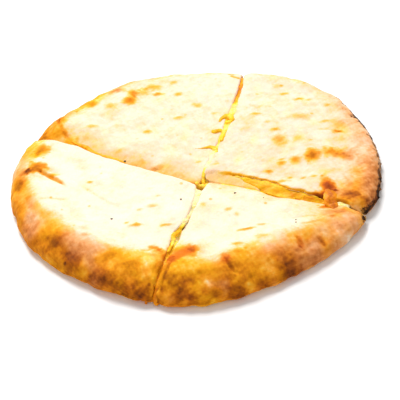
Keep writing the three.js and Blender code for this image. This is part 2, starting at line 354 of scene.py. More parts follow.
@dataclass(frozen=True)
class Round:
    """The whole round: its outline and the height of its puffed rim."""

    radius: float = 126.7
    lobes: tuple[Lobe, ...] = (
        Lobe(1, 1.7, -98),
        Lobe(2, 2.9, 8),
        Lobe(3, 1.7, -93),
        Lobe(4, 0.5, 37),
        Lobe(5, 1.4, 141),
        Lobe(6, 0.7, 128),
        Lobe(7, 0.6, -27),
    )
    outline_steps: int = 8
    rim_height: float = 15.7
    rim_swell: float = 3.4
    rim_swell_heading: float = -115
    rim_thin: float = 3.0
    rim_thin_heading: float = -28
    rim_thin_spread: float = 22
    crest_inset: float = 23
    crest_spread: float = 17
    waves: tuple[LowWave, ...] = (
        LowWave(9.5, 25, 0.6, 0.35),
        LowWave(7.0, 100, 2.1, 0.3),
        LowWave(5.2, 160, 4.0, 0.22),
    )
    lumps: tuple[Lump, ...] = (
        Lump(-106, 38, 11, 1.6),
        Lump(-99, 6, 8, -1.4),
        Lump(-92, 66, 9, 1.2),
        Lump(-3, -83, 8, 1.2),
        Lump(-17, -90, 7, -1.4),
        Lump(20, -98, 9, 0.9),
        Lump(66, -92, 9, -0.9),
        Lump(89, -36, 9, 1.6),
        Lump(-40, 92, 14, 0.8),
        Lump(48, 30, 16, 0.8),
    )

    def radius_at(self, bearing: Array) -> Array:
        """Returns the radius of the outline at a bearing in degrees."""
        radius = self.radius + 0 * bearing
        for lobe in self.lobes:
            radius = radius + lobe.size * np.cos(np.radians(lobe.count * bearing + lobe.turn))
        return radius

    def reach(self, start: Pair, heading: Array) -> Array:
        """Returns the distance from a place inside the round to its outline along a heading."""
        way_x = np.cos(np.radians(heading))
        way_y = np.sin(np.radians(heading))
        reach = self.radius + 0 * heading
        for _ in range(self.outline_steps):
            x = start[0] + way_x * reach
            y = start[1] + way_y * reach
            reach = reach + self.radius_at(np.degrees(np.arctan2(y, x))) - np.hypot(x, y)
        return reach

    def height(self, places: Places, middle: float) -> Array:
        """Returns the crust's height before its edges drop and its rim rounds off.

        Args:
            places: Where.
            middle: The height of the quarter's middle.

        Returns:
            The height at each place.
        """
        off_thin = turn_between(places.bearing, self.rim_thin_heading)
        thin = self.rim_thin * bell(off_thin / self.rim_thin_spread)
        swell = self.rim_swell * np.cos(np.radians(places.bearing - self.rim_swell_heading))
        crest = self.rim_height + swell - thin
        height = middle + (crest - middle) * bell((places.inset - self.crest_inset) / self.crest_spread)
        for wave in self.waves:
            slant = math.radians(wave.slant)
            across = places.x * math.cos(slant) + places.y * math.sin(slant)
            height = height + wave.height * np.sin(across / wave.length + wave.start)
        for lump in self.lumps:
            away = np.hypot(places.x - lump.x, places.y - lump.y)
            height = height + lump.height * bell(away / lump.spread)
        return height


@dataclass(frozen=True)
class Spot:
    """A toasted spot or patch of the crust; a few of them are partly painted shade.

    Attributes:
        x: Place to the right.
        y: Place to the back.
        wide: Half its width, left to right.
        deep: Half its depth, front to back.
        toast: How brown it is, from 0 to 1; below zero it is paler than what is round it.
        raised: Height of its blister.
        tint: Its cast, from -1 for golden to 1 for rosy.
        oil: How soaked with orange oil it is, from 0 to 1.
    """

    x: float
    y: float
    wide: float
    deep: float
    toast: float
    raised: float = 0.0
    tint: float = 0.0
    oil: float = 0.0


@dataclass(frozen=True)
class Crease:
    """A crease, crack or fold line of the crust.

    Attributes:
        points: The points that it runs through.
        depth: How deep it is.
        width: Half its width.
        lip: How far the crust stands up along its left, seen from its first point.
        lip_width: Width of that lip.
        toast: How brown the line is.
        oil: How oily the line is, from 0 to 1.
        end_share: Share of its length that is as faint as its end.
        fullness: How soon it has its full strength; 1 is in the middle only.
    """

    points: tuple[Pair, ...]
    depth: float
    width: float
    lip: float = 0.0
    lip_width: float = 3.0
    toast: float = 0.0
    oil: float = 0.0
    end_share: float = 0.03
    fullness: float = 1.8

    def offset(self, x: Array, y: Array) -> tuple[Array, Array]:
        """Measures places against the line.

        Args:
            x: Places to the right.
            y: Places to the back.

        Returns:
            The signed distance from the line, above zero on its left, and a strength that fades at its ends.
        """
        ends = np.array(self.points)
        spans = np.hypot(*np.diff(ends, axis=0).T)
        starts = np.concatenate([[0.0], np.cumsum(spans)])
        best = np.full(x.shape, np.inf)
        signed = np.full(x.shape, np.inf)
        along = np.zeros(x.shape)
        for (x0, y0), (x1, y1), span, start in zip(ends[:-1], ends[1:], spans, starts):
            way = np.array([x1 - x0, y1 - y0]) / span
            run = np.clip((x - x0) * way[0] + (y - y0) * way[1], 0, span)
            away_x = x - x0 - way[0] * run
            away_y = y - y0 - way[1] * run
            away = np.hypot(away_x, away_y)
            side = np.sign(way[0] * away_y - way[1] * away_x)
            nearer = away < best
            best = np.where(nearer, away, best)
            signed = np.where(nearer, away * side, signed)
            along = np.where(nearer, (start + run) / starts[-1], along)
        along = np.clip(along, self.end_share, 1 - self.end_share)
        strength = np.clip(np.sin(math.pi * along) * self.fullness, 0, 1)
        return signed, strength


@dataclass(frozen=True)
class RimTone:
    """How brown, how far in, how charred and of what cast the rim is at a bearing."""

    bearing: float
    toast: float
    reach: float
    char: float
    tint: float


RIM_TONES = (
    RimTone(-180, 0.35, 23, 0, 0.1),
    RimTone(-170, 0.4, 27, 0, 0),
    RimTone(-162, 0.4, 29, 0, -0.1),
    RimTone(-150, 0.41, 33, 0, -0.2),
    RimTone(-125, 0.44, 36, 0, -0.25),
    RimTone(-112, 0.45, 37, 0, -0.4),
    RimTone(-98, 0.47, 37, 0, -0.6),
    RimTone(-80, 0.48, 38, 0, -0.3),
    RimTone(-60, 0.37, 34, 0, 0.4),
    RimTone(-45, 0.31, 34, 0, 0.3),
    RimTone(-36, 0.21, 37, 0, 0.7),
    # From the right tip round to the back the very edge is charred; at the tip this char is partly painted
    # shade of its dark underside
    RimTone(-33, 0.19, 38, 0.6, 0.8),
    RimTone(-30, 0.19, 38, 0.6, 0.8),
    RimTone(-26, 0.47, 38, 0.62, 1.2),
    RimTone(-14, 0.38, 36, 0.65, 1.5),
    RimTone(5, 0.26, 30, 0.65, 1.5),
    RimTone(25, 0.22, 24, 0.8, 0.9),
    RimTone(40, 0.17, 15, 0.6, 0.6),
    RimTone(48, 0.15, 13, 0, 0.5),
    RimTone(64, 0.11, 11, 0, 0.7),
    RimTone(88, 0.13, 10, 0, 0.5),
    RimTone(102, 0.26, 15, 0, 0.5),
    RimTone(120, 0.28, 16, 0, 0.3),
    RimTone(142, 0.4, 20, 0, -0.25),
    RimTone(156, 0.33, 20, 0, 0),
    RimTone(168, 0.27, 20, 0, 1.1),
    RimTone(180, 0.36, 23, 0, 0.1),
)

SPOTS = (
    # Back right quarter: toasted blisters on its middle
    Spot(81.3, -3.7, 5.4, 6.2, 0.56, 0.6),
    Spot(69.6, -6.6, 4.2, 4.4, 0.46, 0.5),
    Spot(93, -1, 6.4, 5, 0.28, 0.4),
    Spot(99.6, -3, 7.4, 6.6, 0.36, 0.5),
    Spot(105.5, -8, 6, 5, 0.22, 0.4),
    Spot(81.1, 67, 3.8, 1.7, 0.44, 0.3),
    Spot(88.5, 64.5, 2.8, 1, 0.24),
    Spot(71.8, 76.4, 4, 2, 0.3, 0.3),
    Spot(67.4, 87.1, 3.6, 2.8, 0.24, 0.3),
    Spot(71.5, 87, 1.6, 1.2, 0.28),
    Spot(48.4, 52.1, 4, 1.7, 0.34, 0.3),
    Spot(78.7, 44, 7, 4.2, 0.26, 0.5),
    Spot(103.6, 21.5, 3.8, 1.6, 0.46, 0.3),
    Spot(104, 30.2, 6.4, 6.4, 0.24, 0.4),
    Spot(96.3, 35.5, 3.6, 1.6, 0.26, 0.2),
    Spot(100.5, 53.5, 2.4, 1.4, 0.26, 0.2),
    Spot(38.8, 36.6, 3.8, 2.2, 0.22, 0.3),
    Spot(59.6, 30.4, 3.4, 1.7, 0.34, 0.4),
    Spot(55.2, 39.7, 2.2, 1, 0.22),
    Spot(61, 18.5, 6, 6, 0.34, 0.6),
    Spot(73.8, 17.7, 4, 3.8, 0.22, 0.4),
    Spot(83, 14.4, 1.6, 1.2, 0.26),
    Spot(59.6, -7.5, 2.8, 2.4, 0.34, 0.3),
    Spot(60.2, -3.5, 2.4, 1, 0.24),
    Spot(49.9, -14.4, 3, 2.2, 0.4, 0.3),
    Spot(63.3, -23.8, 2, 1.3, 0.32),
    Spot(71.9, -26.3, 2.2, 1.3, 0.3),
    Spot(79.2, -27.3, 2.3, 1.2, 0.34),
    Spot(57.2, -26.8, 5.2, 1.4, 0.28),
    Spot(14.5, -1, 3.4, 1.4, 0.22),
    Spot(90, -22, 9, 4, 0.12),
    Spot(87, -39.6, 4.8, 8.8, 0.68, 0.4, 0, 0.9),
    Spot(66, -8, 24, 16, 0.03),
    Spot(36, 98, 24, 16, -0.06),
    Spot(79, -44.4, 8, 2.4, 0.32, 0, -0.5, 0.6),
    Spot(103, 12, 9, 4, 0.14),
    # Back left quarter: blisters, and the browned lobe at its left corner
    Spot(-39.8, 97.8, 4, 5.4, 0.44, 0.6),
    Spot(-42.6, 88, 5.4, 5, 0.56, 0.8),
    Spot(-51.5, 104.3, 5.6, 3.4, 0.4, 0.5),
    Spot(-24.5, 103, 6.5, 4, 0.34, 0.5),
    Spot(-21.1, 93.2, 4, 2.4, 0.46, 0.5),
    Spot(-31, 97, 5, 5.5, 0.26, 0.4),
    Spot(-8.3, 108.3, 3, 2.4, 0.3, 0.3),
    Spot(-6.2, 91.1, 3.2, 2.2, 0.28, 0.3),
    Spot(-70.6, 90.7, 4.2, 4.8, 0.36, 0.5),
    Spot(-57.6, 84.4, 4.6, 4, 0.28, 0.4),
    Spot(-70.7, 60.9, 4.2, 2.4, 0.26, 0.3),
    Spot(-31.4, 48.1, 3.4, 2.6, 0.28, 0.3),
    Spot(-7.6, 59.9, 3.6, 2.2, 0.28, 0.4),
    Spot(6.9, 73.2, 4.2, 2.6, 0.26, 0.3),
    Spot(18.5, 61.3, 2.6, 1.4, 0.2),
    Spot(-51.8, 30.1, 4.2, 2, 0.12, 0.2),
    Spot(2.6, 5.7, 3, 1.6, 0.2),
    Spot(-36.3, 15.9, 3.6, 2.4, 0.12),
    Spot(-95, 59.5, 5.6, 5, 0.26, 0, -0.9),
    Spot(-88, 50, 5, 5, 0.2, 0, -0.9),
    Spot(-92.6, 71, 3, 4.4, 0.26, 0, -0.8),
    Spot(-76, 50, 7, 5, 0.1),
    # Front left quarter: burnt patches of the rim, faint blisters inside, and a band by the tear that is
    # partly painted shade
    Spot(-111, 17.8, 6.6, 5.6, 0.62, 0, -0.3),
    Spot(-119, 14.6, 5, 3.6, 0.4),
    Spot(-104, 14, 5, 2.8, 0.2),
    Spot(-107.5, 37, 5.4, 6.6, 0.52, 0, -0.9),
    Spot(-111.5, 32.5, 5, 4.4, 0.24, 0, -1),
    # Golden band along the tear's upper side: partly toast, partly painted shade of the crust folded up over
    # it
    Spot(-98.5, 8.8, 4.4, 2, 0.2, 0, -1),
    Spot(-121.8, 3.4, 4.4, 6.4, 0.26, 0, 0.3),
    Spot(-116.1, -14, 3.2, 2, 0.16),
    Spot(-101.5, -49.4, 5.5, 4.5, 0.12),
    Spot(-96.3, -60.9, 8.6, 6.6, 0.25, 0, 0.1),
    Spot(-85.9, -78.5, 7.8, 7.8, 0.26, 0, 0.4),
    Spot(-87, -73.5, 6, 5, 0.06),
    Spot(-73.1, -95.7, 6.6, 5.4, 0.14),
    Spot(-63.5, -101.6, 8, 5, 0.1),
    Spot(-53.5, -108.9, 6.4, 4.6, 0.12),
    Spot(-44.8, -113.1, 7, 5, 0.16, 0, 0.3),
    Spot(-59.4, -85.1, 7.6, 4, 0.2, 0.4, -0.9),
    Spot(-48.1, -93.9, 4.6, 2.4, 0.14, 0.3),
    Spot(-76.7, -63.6, 4.2, 1.6, 0.14),
    Spot(-76.7, -55.6, 4.2, 2.4, 0.12),
    Spot(-73.3, -4.4, 2.2, 1.4, 0.26, 0.2),
    Spot(-32.8, -19.5, 3, 1.6, 0.12),
    Spot(-27.4, -27.7, 2.4, 1.4, 0.14),
    Spot(-31.9, -38.9, 3.2, 1.8, 0.18, 0.2),
    Spot(-40.6, -41.5, 2.2, 1.6, 0.22, 0.2),
    Spot(-49.9, -53.2, 2.2, 1.4, 0.24),
    Spot(-43.3, -56.9, 4.4, 1.5, 0.3, 0.3),
    Spot(-23.5, -60, 4.6, 1.5, 0.26, 0.3),
    Spot(-30, -87.1, 4.2, 2.6, 0.24),
    Spot(-36, -97, 5, 6, -0.14),
    Spot(-17, -82.5, 6, 3, 0.12, 0, -1),
    # Front right quarter: burnt patches of the rim and blisters, with painted shade on the rim beside the
    # flap
    Spot(-12.5, -114, 10, 3.6, 0.13),
    Spot(-15.9, -122.9, 10, 4.2, 0.06, 0, 0.6),
    Spot(17.6, -122.2, 7.6, 4.4, 0.16),
    Spot(14.1, -114.1, 3.6, 3, 0.06),
    Spot(25.5, -117.2, 3.6, 2.4, 0.06),
    Spot(55.4, -104.4, 10.5, 8, 0.17),
    Spot(50.8, -108.9, 8, 5.4, 0.1),
    Spot(66, -98.9, 6.4, 6, 0.1),
    Spot(3.1, -119, 9.5, 3.6, -0.05, 0, 0.9),
    Spot(-18, -106, 12, 4, -0.06, 0, -0.9),
    Spot(-4, -109, 12, 3.4, -0.02, 0, -0.9),
    Spot(33.7, -112.5, 6.5, 4, -0.06),
    Spot(28.7, -72.5, 5, 1.5, 0.46, 0.2),
    Spot(38.8, -69.9, 3.6, 1.5, 0.26, 0.2),
    Spot(37.4, -83.2, 4, 3, 0.18, 0.3),
    Spot(18.3, -50.1, 2.8, 1.6, 0.24, 0.2),
    Spot(23.8, -56.4, 2, 2.6, 0.18),
    Spot(2.4, -41.1, 2.8, 2.4, 0.16),
    Spot(20.7, -88.1, 3.4, 2.6, 0.3, 0.3),
    Spot(20.6, -97.5, 4.6, 2.6, 0.2, 0.4),
    Spot(88, -62.4, 8, 3.6, 0.18, 0, 0.6),
    Spot(82, -55.2, 3.6, 2.2, 0.26, 0, 0, 0.9),
    Spot(94, -57, 3, 2, -0.16),
    # Brown on the side of the back right rim beside the flap: partly toast, partly painted shade where that
    # side faces away from the light
    Spot(98, -49.5, 8, 7, 0.28, 0, 0.3),
    Spot(68, -59, 18, 9, 0.05),
    Spot(82, -63, 12, 8, 0.05),
    Spot(85.8, -67.8, 2.6, 2, 0.22),
    Spot(13.5, -106, 3.6, 5, 0.2),
    Spot(75, -89, 4, 3.4, 0.12),
    Spot(12, -101.6, 3.2, 4, 0.04, 0, 0.3, 0.7),
    Spot(60.5, -90.5, 2.6, 4, 0.06, 0, 0, 0.6),
    Spot(76.6, -92.5, 5, 3, -0.08),
)

CREASES = (
    # The tear at the left, with the crust above it folded up
    Crease(((-113, 15.8), (-107.3, 11.8), (-103.7, 8.8), (-100.2, 6.5), (-97.3, 3.7), (-94, -1.5),
        (-90, -7)), 1.4, 1.1, lip=1.0, lip_width=3.6, toast=0.28, oil=0.5),
    Crease(((-117, 11), (-110, 7.5), (-104, 4)), 0.4, 0.8, toast=0.06),
    # Long shallow wrinkles of the front left quarter
    Crease(((-80, -6), (-72, -17), (-66, -24), (-60, -30), (-54, -35)), 0.5, 0.8, toast=0.08),
    Crease(((-109, -19), (-100, -20), (-93, -22), (-88, -20)), 0.4, 0.7, toast=0.1),
    Crease(((-83, -45), (-76, -49), (-70, -50)), 0.3, 0.7, toast=0.05),
    Crease(((-62, -60), (-54, -64), (-50, -66)), 0.3, 0.7, toast=0.05),
    # The rolled fold beside the front cut
    Crease(((-43.5, -94), (-43, -102), (-42.3, -109)), 0.7, 1.0, lip=0.5, toast=0.06),
    Crease(((-39, -88), (-33, -92), (-31, -99), (-34, -106)), 0.8, 1.2, lip=0.6, toast=0.1),
    Crease(((-42, -84), (-36, -84), (-30, -82)), 0.5, 1.0, toast=0.16),
    # The oily hollow beside the front cut, with a flaky end
    Crease(((-27, -99), (-23, -94.5), (-18, -90), (-12, -88.4), (-4, -88)), 1.2, 5.2, toast=0.4, oil=0.85),
    Crease(((-9, -84), (-5.5, -88), (-3.5, -91)), 0.8, 1.0, lip=0.6, toast=0.22),
    Crease(((-12, -85), (-8.5, -88), (-6.5, -91)), 0.5, 0.8, lip=0.4, toast=0.16),
    Crease(((-37, -80), (-31.5, -81.5), (-28, -87)), 0.6, 1.3, toast=0.2, oil=0.8),
    # The pale ridge of dough down the corner of the front right quarter
    Crease(((-21, -96), (-26, -106), (-29, -113), (-31.5, -120)), 0.9, 0.9, toast=0.22),
    # Cracks of the front right rim
    Crease(((9, -97), (12.3, -103.3), (14.3, -108.5), (17, -112), (21, -113.5)), 0.8, 0.9, lip=0.7,
        lip_width=2.2, toast=0.08),
    Crease(((58, -86), (61.4, -91.3), (62.5, -97)), 0.7, 0.9, lip=0.4, toast=0.12),
    Crease(((72, -85), (75.4, -91), (77, -94)), 0.6, 0.9, lip=0.3, toast=0.14),
    Crease(((62, -75), (70.9, -73.9), (78, -72)), 0.5, 0.8, toast=0.12),
    Crease(((57, -68), (66, -66), (76, -67)), 0.4, 0.8, toast=0.06),
    # Folds of the back left quarter: its corner, the ring beside the left cut, and the nicks at the back
    Crease(((-88, 50), (-91, 56.5), (-93.5, 62), (-96, 70), (-97, 78)), 1.3, 1.1, lip=1.0, lip_width=5.0,
        toast=0.2),
    Crease(((-32, 9), (-27, 7.5), (-22, 8.5), (-20, 12)), 0.7, 1.1, lip=0.6, toast=0.1),
    Crease(((33, 111), (38, 108)), 0.5, 0.8, toast=0.4),
    Crease(((34, 107), (42, 102)), 0.5, 0.8, toast=0.4),
    # Fine lines of the back right quarter
    Crease(((40, -21), (44, -15), (48, -11)), 0.35, 0.6, toast=0.1),
    Crease(((44, 66), (50, 60), (55, 62)), 0.35, 0.7, toast=0.12),
    Crease(((88, 27), (97, 25), (108, 20)), 0.4, 0.8, toast=0.14),
)


@dataclass(frozen=True)
class Facets:
    """How finely a block is divided. Each count is the product of two, since one cut makes at most 100."""

    out: tuple[int, int]
    across: tuple[int, int]
    up: tuple[int, int]

    def grid(self, shares: Array) -> tuple[Array, int, Array, int]:
        """Returns the row out and the line across of each corner, each with the number of the last."""
        rows = self.out[0] * self.out[1]
        lines = self.across[0] * self.across[1]
        return np.round(shares[:, 0] * rows), rows, np.round(shares[:, 1] * lines), lines


def deselect_all() -> None:
    """Leaves nothing selected, since an operator acts on all that is."""
    bpy.ops.object.select_all(action="DESELECT")


def make_active(piece: Piece) -> None:
    """Selects one object alone and makes it the active one."""
    deselect_all()
    piece.select_set(True)
    bpy.context.view_layer.objects.active = piece


def points_of(piece: Piece) -> Array:
    """Returns the places of a mesh's corners, one row each, in metres."""
    places = np.empty(len(piece.data.vertices) * 3)
    piece.data.vertices.foreach_get("co", places)
    return places.reshape(-1, 3)


def normals_of(piece: Piece) -> Array:
    """Returns the normals of a mesh's corners, one row each."""
    normals = np.empty(len(piece.data.vertices) * 3)
    piece.data.vertex_normals.foreach_get("vector", normals)
    return normals.reshape(-1, 3)


def set_points(piece: Piece, places: Array) -> None:
    """Moves a mesh's corners to the given places, in metres."""
    piece.data.vertices.foreach_set("co", places.ravel())
    piece.data.update()


def set_layer(piece: Piece, name: str, values: Array) -> None:
    """Writes one value for each corner of a mesh as a named attribute."""
    mesh = piece.data
    layer = mesh.attributes.get(name) or mesh.attributes.new(name, "FLOAT", "POINT")
    layer.data.foreach_set("value", np.ascontiguousarray(values, dtype=np.float32))


def subdivide_along(block: Piece, axis: int, parts: int) -> None:
    """Divides all edges of a block that run along one axis.

    Args:
        block: The block, still with straight edges.
        axis: 0, 1 or 2 for x, y or z.
        parts: Into how many parts each edge is divided.
    """
    if parts < 2:
        return
    make_active(block)
    mesh = block.data
    places = points_of(block)
    ends = np.empty(len(mesh.edges) * 2, dtype=np.int32)
    mesh.edges.foreach_get("vertices", ends)
    ends = ends.reshape(-1, 2)
    chosen = np.abs(places[ends[:, 0], axis] - places[ends[:, 1], axis]) > TINY
    mesh.vertices.foreach_set("select", np.zeros(len(mesh.vertices), dtype=bool))
    mesh.polygons.foreach_set("select", np.zeros(len(mesh.polygons), dtype=bool))
    mesh.edges.foreach_set("select", chosen)
    bpy.ops.object.mode_set(mode="EDIT")
    bpy.ops.mesh.subdivide(number_cuts=parts - 1)
    bpy.ops.object.mode_set(mode="OBJECT")


def add_block(name: str, facets: Facets) -> Piece:
    """Adds a cube of side 1 round the origin, divided into even facets.

    Args:
        name: Name of the new object.
        facets: How finely it is divided.

    Returns:
        The block.
    """
    deselect_all()
    bpy.ops.mesh.primitive_cube_add(size=1.0)
    block = bpy.context.active_object
    block.name = name
    bpy.context.tool_settings.mesh_select_mode = (False, True, False)
    for axis, counts in ((2, facets.up), (0, facets.out), (1, facets.across)):
        for parts in counts:
            subdivide_along(block, axis, parts)
    return block


def apply_modifier(piece: Piece, kind: str, settings: Settings) -> None:
    """Adds a modifier with its settings and applies it.

    Args:
        piece: The mesh object.
        kind: Blender's name for the kind of modifier.
        settings: Its settings by name.
    """
    make_active(piece)
    bpy.ops.object.modifier_add(type=kind)
    modifier = piece.modifiers[-1]
    for setting, value in settings.items():
        setattr(modifier, setting, value)
    bpy.ops.object.modifier_apply(modifier=modifier.name)


def remove(piece: Piece) -> None:
    """Removes an object that has done its work."""
    bpy.data.objects.remove(piece, do_unlink=True)


def join(parts: Sequence[Piece]) -> Piece:
    """Joins meshes into the first of them and returns it."""
    make_active(parts[0])
    for part in parts:
        part.select_set(True)
    bpy.ops.object.join()
    return bpy.context.active_object


def set_finish(piece: Piece, finish: Finish) -> None:
    """Makes a material the only one of a piece."""
    piece.data.materials.clear()
    piece.data.materials.append(finish)


def to_frame(x: Array, y: Array, z: Array) -> Array:
    """Turns places in the round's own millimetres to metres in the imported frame, one row each."""
    return np.column_stack([x + CENTRE[0], y + CENTRE[1], z]) * MM


def keep_in_box(places: Array) -> Array:
    """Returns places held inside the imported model's box."""
    low, high = CAD_BOX
    return np.clip(places, np.array(low), np.array(high))


@dataclass(frozen=True)
class Quarter:
    """One quarter of the round: where each place in it lies, and how its crust and filling run.

    Attributes:
        plan: Its own sizes. The others are shared by all quarters.
        whole: The round that it belongs to.
    """

    plan: Plan
    whole: Round
    point_swell: float = 0.45
    point_drop: float = 0.55
    point_drop_reach: float = 40
    seam_share: float = 0.36
    curl_share: float = 0.2
    curl_width: float = 8
    wall_bulge: float = 0.7
    line_crowding: float = 0.06
    row_crowding: float = 1.8
    # The front right quarter lifts off its base at one corner
    lifted: str = "front_right"
    lifted_at: Pair = (106, -72)
    lifted_spread: float = 32
    lifted_height: float = 2.6
    lifted_crust_share: float = 0.5
    # Crust of the back right quarter, drawn back from its right cut: first dough shows, then cheese
    ledged: str = "back_right"
    ledge_places: tuple[float, ...] = (0, 50, 65, 78, 100)
    ledge_widths: tuple[float, ...] = (8.4, 8.6, 5.4, 3.0, 1.4)
    ledge_end: Pair = (106, 94)
    ledge_ragged: Fields = ((71, 11.0, 0.3), (72, 4.0, 0.22))
    ledge_ragged_widths: Pair = (1.0, 5.0)
    ledge_step: float = 1.1
    ledge_step_length: float = 3.0
    ledge_slope: float = 2.0
    bare_from_cut: float = 42
    bare_from_crust: float = 18
    bare_length: float = 3.5
    bare_ragged: float = 2.0
    bare_to: Pair = (93, 88)
    bare_depth: float = 1.8
    # The filling
    floor_dough: float = 4.0
    filling_most: float = 6.5
    filling_least: float = 1.8
    pocket_end: float = 0.86
    pocket_taper: float = 0.3
    edge_round: float = 1.1
    edge_round_drop: float = 0.75

    def crowd(self, share: Array) -> Array:
        """Returns shares across, with the lines crowded towards both cuts."""
        return share - self.line_crowding * np.sin(2 * math.pi * share)

    def reach_at(self, across: Array) -> Array:
        """Returns the distance from the point to the rim at a share of the way across."""
        start, end = (cut.heading for cut in self.plan.cuts)
        full = self.whole.reach(self.plan.point, start + (end - start) * across)
        opening = math.radians(end - start)
        for corner, share in zip(self.plan.corners, (across, 1 - across)):
            full = full - corner.draw * fade(share * opening * full, corner.length)
        return full

    def blunt_at(self, across: Array) -> Array:
        """Returns the distance from the point to its blunt front at a share of the way across."""
        return self.plan.blunt * (1 - self.point_swell * np.sin(math.pi * across))

    def places(self, across: Array, distance: Array, sideways: Array | float = 0.0) -> Places:
        """Finds places on the quarter.

        Args:
            across: Share of the way from the start cut to the end cut.
            distance: Distance from the point.
            sideways: How far the place is moved counter-clockwise past there.

        Returns:
            The places.
        """
        reach = self.reach_at(across)
        along = np.minimum(distance / reach, 1)
        start = self.plan.cuts[0].heading_at(along)
        end = self.plan.cuts[1].heading_at(along)
        heading = np.radians(start + (end - start) * across)
        x = self.plan.point[0] + np.cos(heading) * distance - np.sin(heading) * sideways
        y = self.plan.point[1] + np.sin(heading) * distance + np.cos(heading) * sideways
        opening = np.radians(end - start) * distance
        return Places(
            x=x,
            y=y,
            distance=distance,
            bearing=np.degrees(np.arctan2(y, x)),
            inset=np.maximum(reach - distance, 0),
            from_start=across * opening,
            from_end=(1 - across) * opening,
        )

    def edge_at(self, side: Side, distance: Array) -> tuple[Array, Array]:
        """Returns the plan of a cut's edge at distances from the point."""
        edge = self.places(side.value + 0 * distance, distance)
        return edge.x, edge.y

    def ledge(self, places: Places) -> tuple[Array, Array, Array]:
        """Measures places against the ledge that the drawn-back crust leaves.

        Args:
            places: Where.

        Returns:
            Shares of the step and of the slope that a place lies down, and how bare the filling is.
        """
        none = 0 * places.x
        if self.plan.name != self.ledged:
            return none, none, none
        ragged = relief(self.ledge_ragged, np.column_stack([places.x, places.y, none]))
        width = np.interp(places.distance, self.ledge_places, self.ledge_widths)
        there = smooth(places.distance, *self.ledge_end)
        down = np.maximum(1 - places.from_start / width, 0)
        past = places.from_start - width - ragged * smooth(width, *self.ledge_ragged_widths)
        stepped = there * (1 - smooth(past, -self.ledge_step_length / 2, self.ledge_step_length / 2))
        start = self.bare_from_crust + (self.bare_from_cut - self.bare_from_crust) * down
        start = start + self.bare_ragged * ragged
        bare = smooth(places.distance, start, start + self.bare_length)
        bare = bare * smooth(places.distance, *self.bare_to)
        return stepped, there * down, stepped * bare

    def crust(self, places: Places) -> Array:
        """Returns the crust's height before the rim rounds off."""
        height = self.whole.height(places, self.plan.middle)
        share = self.point_drop + (1 - self.point_drop) * smooth(places.distance, 0, self.point_drop_reach)
        for edge, away in zip(self.plan.edges, (places.from_start, places.from_end)):
            height = height - share * edge.drop * fade(away, edge.width)
        stepped, sloped, _ = self.ledge(places)
        return height - self.ledge_step * stepped - self.ledge_slope * sloped

    def lift(self, places: Places) -> Array:
        """Returns how far the base is lifted."""
        if self.plan.name != self.lifted:
            return 0 * places.x
        away = np.hypot(places.x - self.lifted_at[0], places.y - self.lifted_at[1])
        return self.lifted_height * fade(away, self.lifted_spread)

    def surfaces(self, places: Places) -> tuple[Array, Array]:
        """Returns the heights of the bread's top and underside."""
        crust = self.crust(places)
        shoulder = 1 - np.minimum(places.inset / self.plan.shoulder, 1)
        curl = 1 - np.minimum(places.inset / self.curl_width, 1)
        seam = crust * self.seam_share
        lift = self.lift(places)
        top = seam + (crust - seam) * np.sqrt(1 - shoulder * shoulder)
        under = crust * self.curl_share * (1 - np.sqrt(1 - curl * curl))
        missing = self.bare_depth * self.ledge(places)[2]
        return top + lift * self.lifted_crust_share - missing, under + lift

    def filling(self, places: Places, share: Array) -> tuple[Array, Array]:
        """Returns the heights of the filling's top and underside.

        Args:
            places: Where.
            share: Share of the way to the end of its pocket.

        Returns:
            The two heights at each place.
        """
        top, _ = self.surfaces(places)
        bare = self.ledge(places)[2]
        ceiling = top + self.bare_depth * bare - self.plan.skin * (1 - bare)
        floor = np.maximum(self.floor_dough, ceiling - self.filling_most)
        floor = np.minimum(floor, ceiling - self.filling_least)
        middle = (ceiling + floor) / 2
        taper = smooth(share, 1 - self.pocket_taper, 1)
        half = (ceiling - floor) / 2 * (1 - taper) + self.filling_least / 2 * taper
        return middle + half, middle - half

    def stands_out(self, side: Side, distance: Array) -> tuple[Array, Array]:
        """Returns how far the filling stands out of a cut face, and how far it stands up there."""
        out = self.plan.edges[side.value].shows + 0 * distance
        rise = 0 * distance
        for swell in self.plan.swells:
            if swell.side is side:
                bump = bell((distance - swell.at) / swell.spread)
                out = out + swell.out * bump
                rise = rise + swell.rise * bump
        return out, rise


def linear(code: str) -> Colour:
    """Turns an sRGB hex colour to linear red, green, blue and an alpha of 1."""
    values = []
    for start in (0, 2, 4):
        value = int(code[start : start + 2], 16) / 255
        values.append(value / 12.92 if value <= 0.04045 else ((value + 0.055) / 1.055) ** 2.4)
    return values[0], values[1], values[2], 1.0


